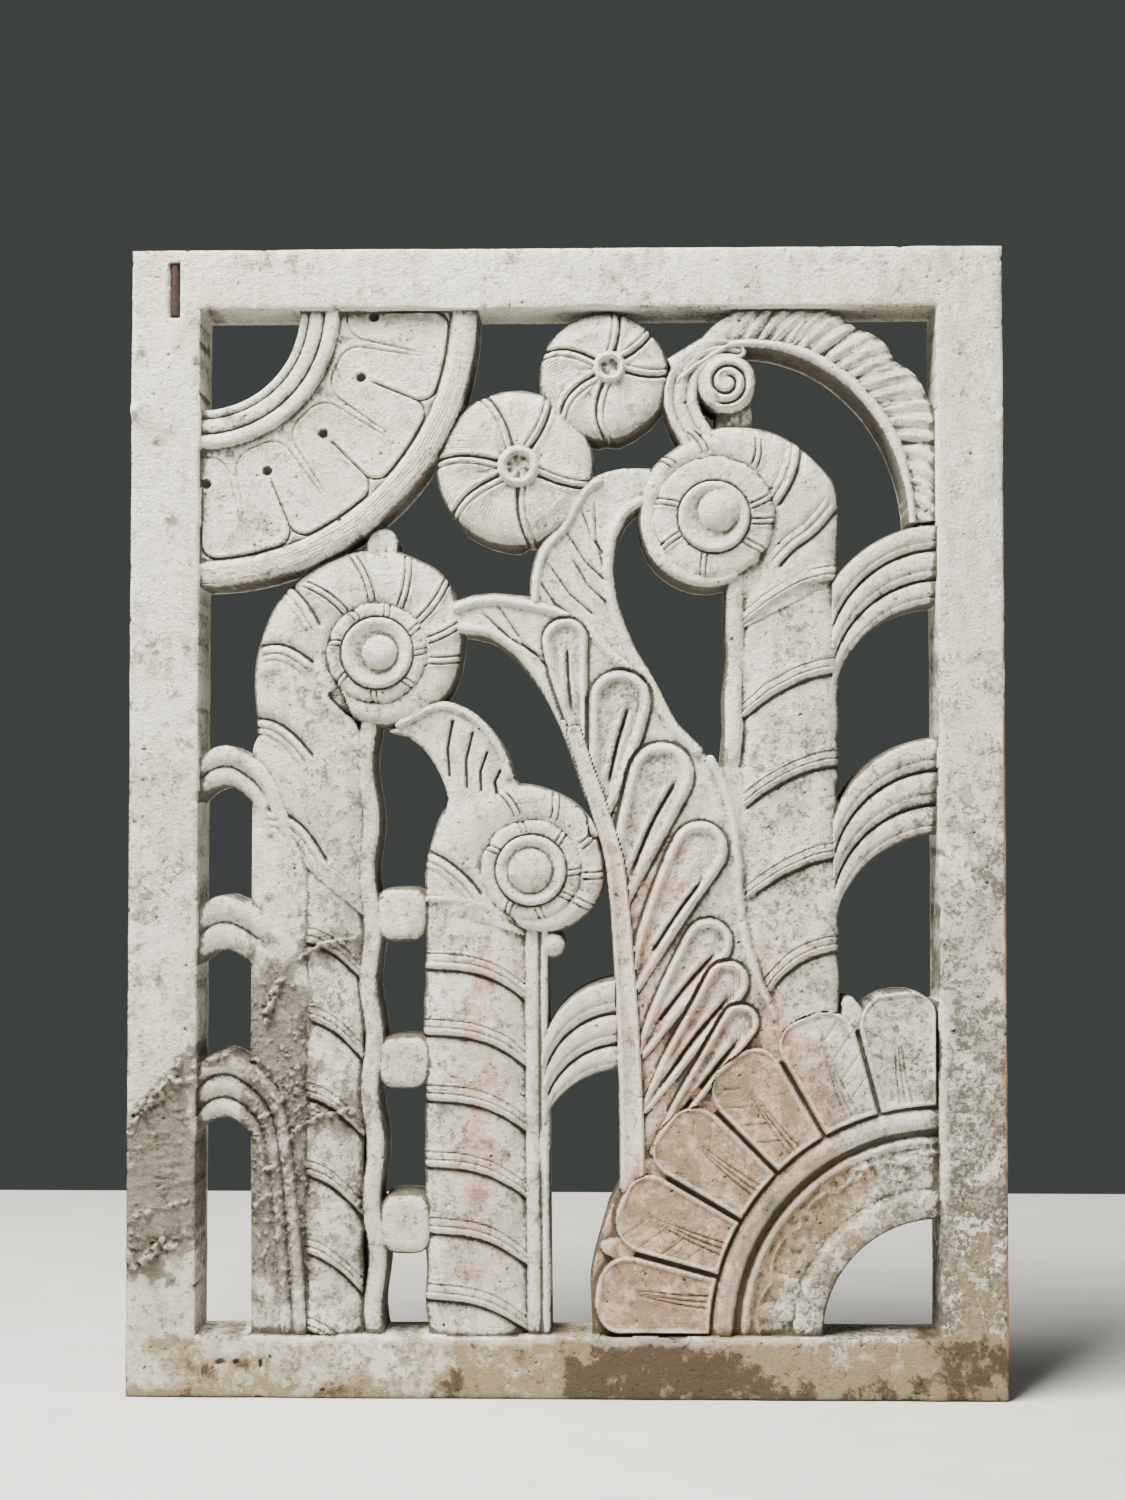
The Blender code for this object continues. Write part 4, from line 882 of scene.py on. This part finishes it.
def mesh_from(name, vertices, faces):
    made = bpy.data.meshes.new(name)
    made.vertices.add(len(vertices))
    made.vertices.foreach_set("co", vertices.ravel())
    made.loops.add(len(faces) * 3)
    made.loops.foreach_set("vertex_index", faces.ravel().astype(np.int32))
    made.polygons.add(len(faces))
    made.polygons.foreach_set("loop_start", np.arange(0, len(faces) * 3, 3, dtype=np.int32))
    made.update(calc_edges=True)
    made.validate()
    return made


def new_object(name, data):
    made = bpy.data.objects.new(name, data)
    bpy.context.scene.collection.objects.link(made)
    return made


raw = new_object("casting_raw", mesh_from("casting_raw", vertices, faces))

# The mesh is thinned where it is flat. Long edges that don't lie on the back are halved again, so
# that the colours, which the points carry, stay even. That makes about 186,000 triangles.
TRIANGLES = 152000
LONG_EDGE = 14 * MM
SHARP_EDGE = 48
thin = raw.modifiers.new("thin", "DECIMATE")
thin.ratio = TRIANGLES / len(faces)
graph = bpy.context.evaluated_depsgraph_get()
casting = new_object("casting", bpy.data.meshes.new_from_object(raw.evaluated_get(graph)))
bpy.data.objects.remove(raw, do_unlink=True)
tidy = bmesh.new()
tidy.from_mesh(casting.data)
bmesh.ops.delete(tidy, geom=[v for v in tidy.verts if not v.link_faces], context="VERTS")
bmesh.ops.dissolve_degenerate(tidy, edges=tidy.edges, dist=0.00001)
for halving in range(2):
    stretched = [edge for edge in tidy.edges if edge.calc_length() > LONG_EDGE
                 and min(point.co.y for point in edge.verts) < high[1] - MM]
    bmesh.ops.subdivide_edges(tidy, edges=stretched, cuts=1)
    bmesh.ops.triangulate(tidy, faces=[face for face in tidy.faces if len(face.verts) > 3])
bmesh.ops.recalc_face_normals(tidy, faces=tidy.faces)
tidy.to_mesh(casting.data)
tidy.free()
casting.data.shade_smooth()
casting.data.set_sharp_from_angle(angle=math.radians(SHARP_EDGE))


def mark(name, grid, on_back=0.0):
    """Give the casting's points a value for the material: the grid's in front, one value on the back."""
    places = np.empty(len(casting.data.vertices) * 3)
    casting.data.vertices.foreach_get("co", places)
    places = places.reshape(-1, 3) / MM
    values = sample(grid, places[:, 0], places[:, 2])
    values = np.where(places[:, 1] > high[1] / MM - 1, on_back, values).astype(np.float32)
    casting.data.attributes.new(name, "FLOAT", "POINT").data.foreach_set("value", values)


# Where dirt, colour and painted light lie: dirt with painted shade in the hollows, rubbed whitewash with a
# painted highlight on the worn edges, and zones that the weather has made.
NEAR, WIDER = 3.08, 14.08
weight = (reach > 0).astype(float)
filled = blurred(depth * weight, NEAR) / np.maximum(blurred(weight, NEAR), 0.02)
covered = np.clip(np.where(reach > 0, depth, filled), -3, 16)
level_round = blurred(covered * weight, WIDER) / np.maximum(blurred(weight, WIDER), 0.05)
mark("hollow", np.clip((covered - level_round) / 2.5, -1, 1))
fan_radius, fan_turn = in_turn(fan, all_of_it, -1, 1)
petal_blush = unit((fan_radius - 98) / 30) * (fan_radius < 243) * unit((74 - fan_turn) / 16)
blush = petal_blush
for much, *zone in ((0.72, 92, 230, 46, 95), (0.66, 48, 330, 34, 80), (0.66, -62, 160, 22, 125),
                    (0.7, 142, 262, 40, 46), (0.5, -50, 290, 34, 40)):
    blush = np.maximum(blush, much * spot(*zone))
mark("blush", unit(blush + 0.16 * mottle(9, 61) * (blush > 0.05)) * (X > -100) * (Z > 42))
lichen = 0.12 + 0.28 * unit((X - 60) / 200) * unit((660 - Z) / 260)
lichen += 0.3 * unit((X - 255) / 8) * unit((540 - Z) / 400)
lichen += 0.22 * unit((430 - Z) / 330)
for much, *zone in ((0.3, 190, 80, 90, 60), (0.3, -165, 430, 34, 100), (0.3, -158, 200, 24, 130),
                    (0.3, 158, 430, 36, 120), (0.25, 45, 430, 40, 60), (0.2, -215, 600, 30, 60),
                    (0.25, -75, 240, 22, 110), (0.2, -285, 420, 30, 110)):
    lichen += much * spot(*zone)
mark("lichen", unit(lichen + 0.10 * mottle(16, 62)), 0.35)
soil = 0.24 + 0.11 * unit((X + 130) / 120) + 0.05 * mottle(16, 63)
soil += 0.12 * unit((16 - Z) / 14)
for zone in ((5, 24, 13, 15), (47, 27, 8, 10), (92, 20, 15, 14), (132, 22, 9, 9), (215, 14, 30, 9),
             (-225, 24, 20, 4), (-60, 14, 20, 6), (288, 20, 20, 18)):
    soil += 0.2 * spot(*zone)
soil *= rises(43 + 1.5 * mottle(8, 65) - Z, 5)
soil += 0.26 * spot(285, 70, 24, 80) + 0.26 * spot(190, 110, 55, 40) + 0.12 * spot(-200, 48, 60, 8)
soil += 0.22 * petal_blush
mark("soil", unit(soil))
mark("crust", crust)
mark("orange", (X > WIDE / 2 - 1.5) * unit((620 - Z) / 60) * unit(mottle(22, 64) + 0.9))


class Socket:
    """A socket of a material's nodes, with the sums that the materials use."""

    def __init__(self, tree, socket=None):
        self.tree = tree
        self.socket = socket

    def node(self, kind, settings=None, inputs=None, output=0):
        """Add a node: its settings are set first, then the values or links of its sockets."""
        made = self.tree.nodes.new(kind)
        for name, value in (settings or {}).items():
            setattr(made, name, value)
        for name, value in (inputs or {}).items():
            if isinstance(value, Socket):
                self.tree.links.new(value.socket, made.inputs[name])
            else:
                made.inputs[name].default_value = value
        return Socket(self.tree, made.outputs[output] if made.outputs else None)

    def sum(self, operation, first, second):
        return self.node("ShaderNodeMath", {"operation": operation}, {0: first, 1: second})

    def __add__(self, other):
        return self.sum("ADD", self, other)

    def __sub__(self, other):
        return self.sum("SUBTRACT", self, other)

    def __rsub__(self, other):
        return self.sum("SUBTRACT", other, self)

    def __mul__(self, other):
        return self.sum("MULTIPLY", self, other)

    __radd__ = __add__
    __rmul__ = __mul__

    def between(self, low, high):
        """0 below low and 1 above high, with a soft step between."""
        return self.node("ShaderNodeMapRange", {"interpolation_type": "SMOOTHSTEP"},
                         {"Value": self, "From Min": low, "From Max": high})

    def mix(self, first, second):
        """From the first colour to the second, by this value."""
        settings = {"data_type": "RGBA", "clamp_factor": True}
        return self.node("ShaderNodeMix", settings, {0: self, 6: first, 7: second}, 2)

    def noise(self, scale, detail=4.0, roughness=0.55, stretch=(1, 1, 1)):
        place = self.node("ShaderNodeTexCoord", output="Object")
        place = self.node("ShaderNodeMapping", None, {"Vector": place, "Scale": stretch})
        return self.node("ShaderNodeTexNoise", None,
                         {"Vector": place, "Scale": scale, "Detail": detail, "Roughness": roughness})

    def attribute(self, name):
        return self.node("ShaderNodeAttribute", {"attribute_name": name}, output="Fac")


def new_material(name):
    made = bpy.data.materials.new(name)
    made.use_nodes = True
    made.node_tree.nodes.clear()
    return made, Socket(made.node_tree)


def finish_material(nodes, color, roughness, height, distance, **fixed):
    """Close a material: a Principled surface with a bump, and its output."""
    bump = nodes.node("ShaderNodeBump", None, {"Height": height, "Distance": distance, "Strength": 1.0})
    inputs = {"Base Color": color, "Roughness": roughness, "Normal": bump, **fixed}
    surface = nodes.node("ShaderNodeBsdfPrincipled", None, inputs)
    nodes.node("ShaderNodeOutputMaterial", None, {"Surface": surface})


# Old whitewash over grey concrete: lime white where it holds, grey where the rain has taken it off,
# a pink blush of an older coat, lichen specks, brown soil below, dark dirt with painted shade in the cuts
# and a painted highlight on the proud edges.
WHITEWASH = (0.86, 0.83, 0.70, 1)
CREAM = (0.74, 0.695, 0.55, 1)
GREY_FILM = (0.55, 0.52, 0.43, 1)
BARE_CONCRETE = (0.35, 0.33, 0.265, 1)
LICHEN_DARK = (0.135, 0.125, 0.09, 1)
PINK_COAT = (0.70, 0.46, 0.345, 1)
TERRACOTTA = (0.31, 0.20, 0.14, 1)
SOIL_TAN = (0.34, 0.265, 0.16, 1)
SOIL_BROWN = (0.085, 0.062, 0.036, 1)
CRUST_GREY = (0.30, 0.275, 0.215, 1)
CRUST_BROWN = (0.15, 0.125, 0.085, 1)
DIRT_AND_SHADE = (0.075, 0.062, 0.042, 1)
RUST_STAIN = (0.60, 0.27, 0.13, 1)
whitewashed, nodes = new_material("whitewashed_concrete")
hollow, lichen_zone, blush_zone, soil_zone, crust_zone = (
    nodes.attribute(name) for name in ("hollow", "lichen", "blush", "soil", "crust"))
broad = nodes.noise(9, 3)
clouds = nodes.noise(26, 9, 0.72).between(0.36, 0.64)
patchy = nodes.noise(62, 10, 0.74).between(0.36, 0.64)
blotch = nodes.noise(140, 8, 0.72).between(0.36, 0.64)
speckle = nodes.noise(330, 5, 0.7).between(0.34, 0.66)
grain = nodes.noise(760, 3, 0.65)
brushed = nodes.noise(150, 5, 0.6, (1, 1, 0.25)).between(0.3, 0.7)
pores = nodes.node("ShaderNodeTexVoronoi", {"feature": "F1"},
                   {"Vector": nodes.node("ShaderNodeTexCoord", output="Object"), "Scale": 170.0})
# Proud points and edges: rubbed whitewash with a painted highlight.
rubbed_white_and_highlight = (0 - hollow).between(0.08, 0.5)
coarse = 0.6 * patchy + 0.4 * blotch
cloudy = 0.55 * clouds + 0.45 * patchy
color = (broad + 0.22 * (brushed - 0.5)).between(0.35, 0.68).mix(WHITEWASH, CREAM)
film = 0.6 * clouds + 0.3 * brushed + 0.1 * speckle + 0.45 * lichen_zone + 0.1 * hollow
color = (film.between(0.55, 1.0) * 0.75).mix(color, GREY_FILM)
color = ((0.9 * blush_zone + 0.5 * (coarse - 0.5)).between(0.28, 0.62) * 0.95).mix(color, PINK_COAT)
fired = 0.72 * blush_zone + 0.75 * (cloudy - 0.5) + 0.15 * hollow
color = (fired.between(0.48, 0.82) * 0.8).mix(color, TERRACOTTA)
bare = coarse + 0.5 * lichen_zone + 0.15 * hollow
color = (bare.between(0.78, 0.90) * (0.5 + 0.4 * lichen_zone)).mix(color, BARE_CONCRETE)
fine = 0.5 * blotch + 0.5 * speckle + 0.4 * lichen_zone + 0.1 * hollow
color = (fine.between(0.83, 0.93) * (0.5 + 0.4 * lichen_zone)).mix(color, LICHEN_DARK)
color = (crust_zone * (0.6 + 0.6 * blotch)).between(0.18, 0.44).mix(color, CRUST_GREY)
caked = crust_zone * (0.1 + 0.5 * speckle + 0.4 * blotch + 0.5 * hollow)
color = caked.between(0.45, 0.95).mix(color, CRUST_BROWN)
earthy = soil_zone + 0.3 * (coarse - 0.5) * soil_zone.between(0.02, 0.2)
color = earthy.between(0.1, 0.36).mix(color, SOIL_TAN)
color = ((soil_zone + 0.8 * (cloudy - 0.5)).between(0.42, 0.66) * 0.92).mix(color, SOIL_BROWN)
# Painted highlight: proud edges and high points turn whitewash white, partly rubbed-clean whitewash and
# partly light painted where it falls on them.
color = (rubbed_white_and_highlight * 0.55 * (1 - 0.8 * soil_zone)).mix(color, WHITEWASH)
# Painted shade: the hollows and cuts turn near black, partly dirt and partly the shade that falls in them.
cuts = (hollow + 0.25 * (speckle - 0.5) + 0.2 * lichen_zone).between(0.16, 0.66)
color = (cuts * 0.88).mix(color, DIRT_AND_SHADE)
dots = (0.2 - pores) * (0.6 * patchy + 0.4 * grain + 0.3 * lichen_zone).between(0.55, 0.85)
color = (dots.between(0.03, 0.1) * 0.6).mix(color, DIRT_AND_SHADE)
color = nodes.attribute("orange").mix(color, RUST_STAIN)
rough = 0.86 + 0.1 * speckle
height = 0.9 * grain + 0.55 * speckle + 0.4 * blotch + 0.8 * crust_zone * speckle - dots.between(0.0, 0.12)
finish_material(nodes, color, rough, height, distance=0.0015, **{"Specular IOR Level": 0.25})
casting.data.materials.clear()
casting.data.materials.append(whitewashed)
casting.name = "weathered_casting"
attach(casting, "root")
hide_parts("panel")


# The reinforcing rod

# A plain round bar of mild steel, cast in near the edge. It has rusted, swelled and burst the
# concrete over it, and its scaly brown skin shows along a hand's width at the top left.
RUST_DARK = (0.018, 0.010, 0.007, 1)
RUST_BROWN = (0.035, 0.015, 0.009, 1)
rusted, nodes = new_material("rusted_steel")
scale = nodes.noise(260, 6, 0.7)
flakes = nodes.noise(90, 3, 0.5)
color = (0.6 * scale + 0.4 * flakes).between(0.42, 0.62).mix(RUST_DARK, RUST_BROWN)
finish_material(nodes, color, 0.8 + 0.15 * scale, scale + 0.6 * flakes, distance=0.0012, Metallic=0.1)
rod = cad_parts["reinforcement_rod"]
for slot in rod.material_slots:
    slot.material = rusted


# The studio

# A pale floor just under the casting, a large soft light above, and the photograph's viewpoint.
FLOOR_PALE = (0.60, 0.59, 0.57, 1)
FLOOR_GREY = (0.56, 0.55, 0.53, 1)
floor_mesh = bpy.data.meshes.new("studio_floor")
floor_mesh.from_pydata([(-3, -3, 0), (3, -3, 0), (3, 0.9, 0), (-3, 0.9, 0)], [], [(0, 1, 2, 3)])
floor = new_object("studio_floor", floor_mesh)
FLOOR_GAP = 0.0005
floor.location.z = low[2] - FLOOR_GAP
pale, nodes = new_material("studio_floor")
cast = nodes.noise(14, 5)
color = cast.between(0.3, 0.7).mix(FLOOR_PALE, FLOOR_GREY)
finish_material(nodes, color, 0.85 + 0.1 * cast, cast, distance=0.0004)
floor_mesh.materials.append(pale)


def soft_light(name, place, aim, size, power, tint):
    lamp = bpy.data.lights.new(name, "AREA")
    lamp.shape = "RECTANGLE"
    lamp.size, lamp.size_y = size
    lamp.energy = power
    lamp.color = tint
    made = new_object(name, lamp)
    made.location = place
    made.rotation_euler = (Vector(aim) - Vector(place)).to_track_quat("-Z", "Y").to_euler()


soft_light("sky_above", (-0.6, -0.62, 2.1), (0, 0, 0.3), (1.2, 0.6), 205, (1, 0.975, 0.92))
soft_light("front_fill", (1.0, -2.6, 1.0), (0, 0, 0.4), (1.8, 1.8), 14, (0.96, 0.98, 1))
world = bpy.data.worlds.new("studio")
bpy.context.scene.world = world
world.use_nodes = True
world.node_tree.nodes["Background"].inputs["Color"].default_value = (0.055, 0.062, 0.058, 1)
world.node_tree.nodes["Background"].inputs["Strength"].default_value = 1.0

camera = new_object("camera", bpy.data.cameras.new("camera"))
camera.data.lens = 55.68
camera.data.sensor_width = 36
CAMERA_AWAY = 1.613
camera.location = (0.037, low[1] - CAMERA_AWAY, 0.390)
looking = Vector((-0.0241, 0.9991, 0.0357))
camera.rotation_euler = looking.to_track_quat("-Z", "Y").to_euler()
bpy.context.scene.camera = camera
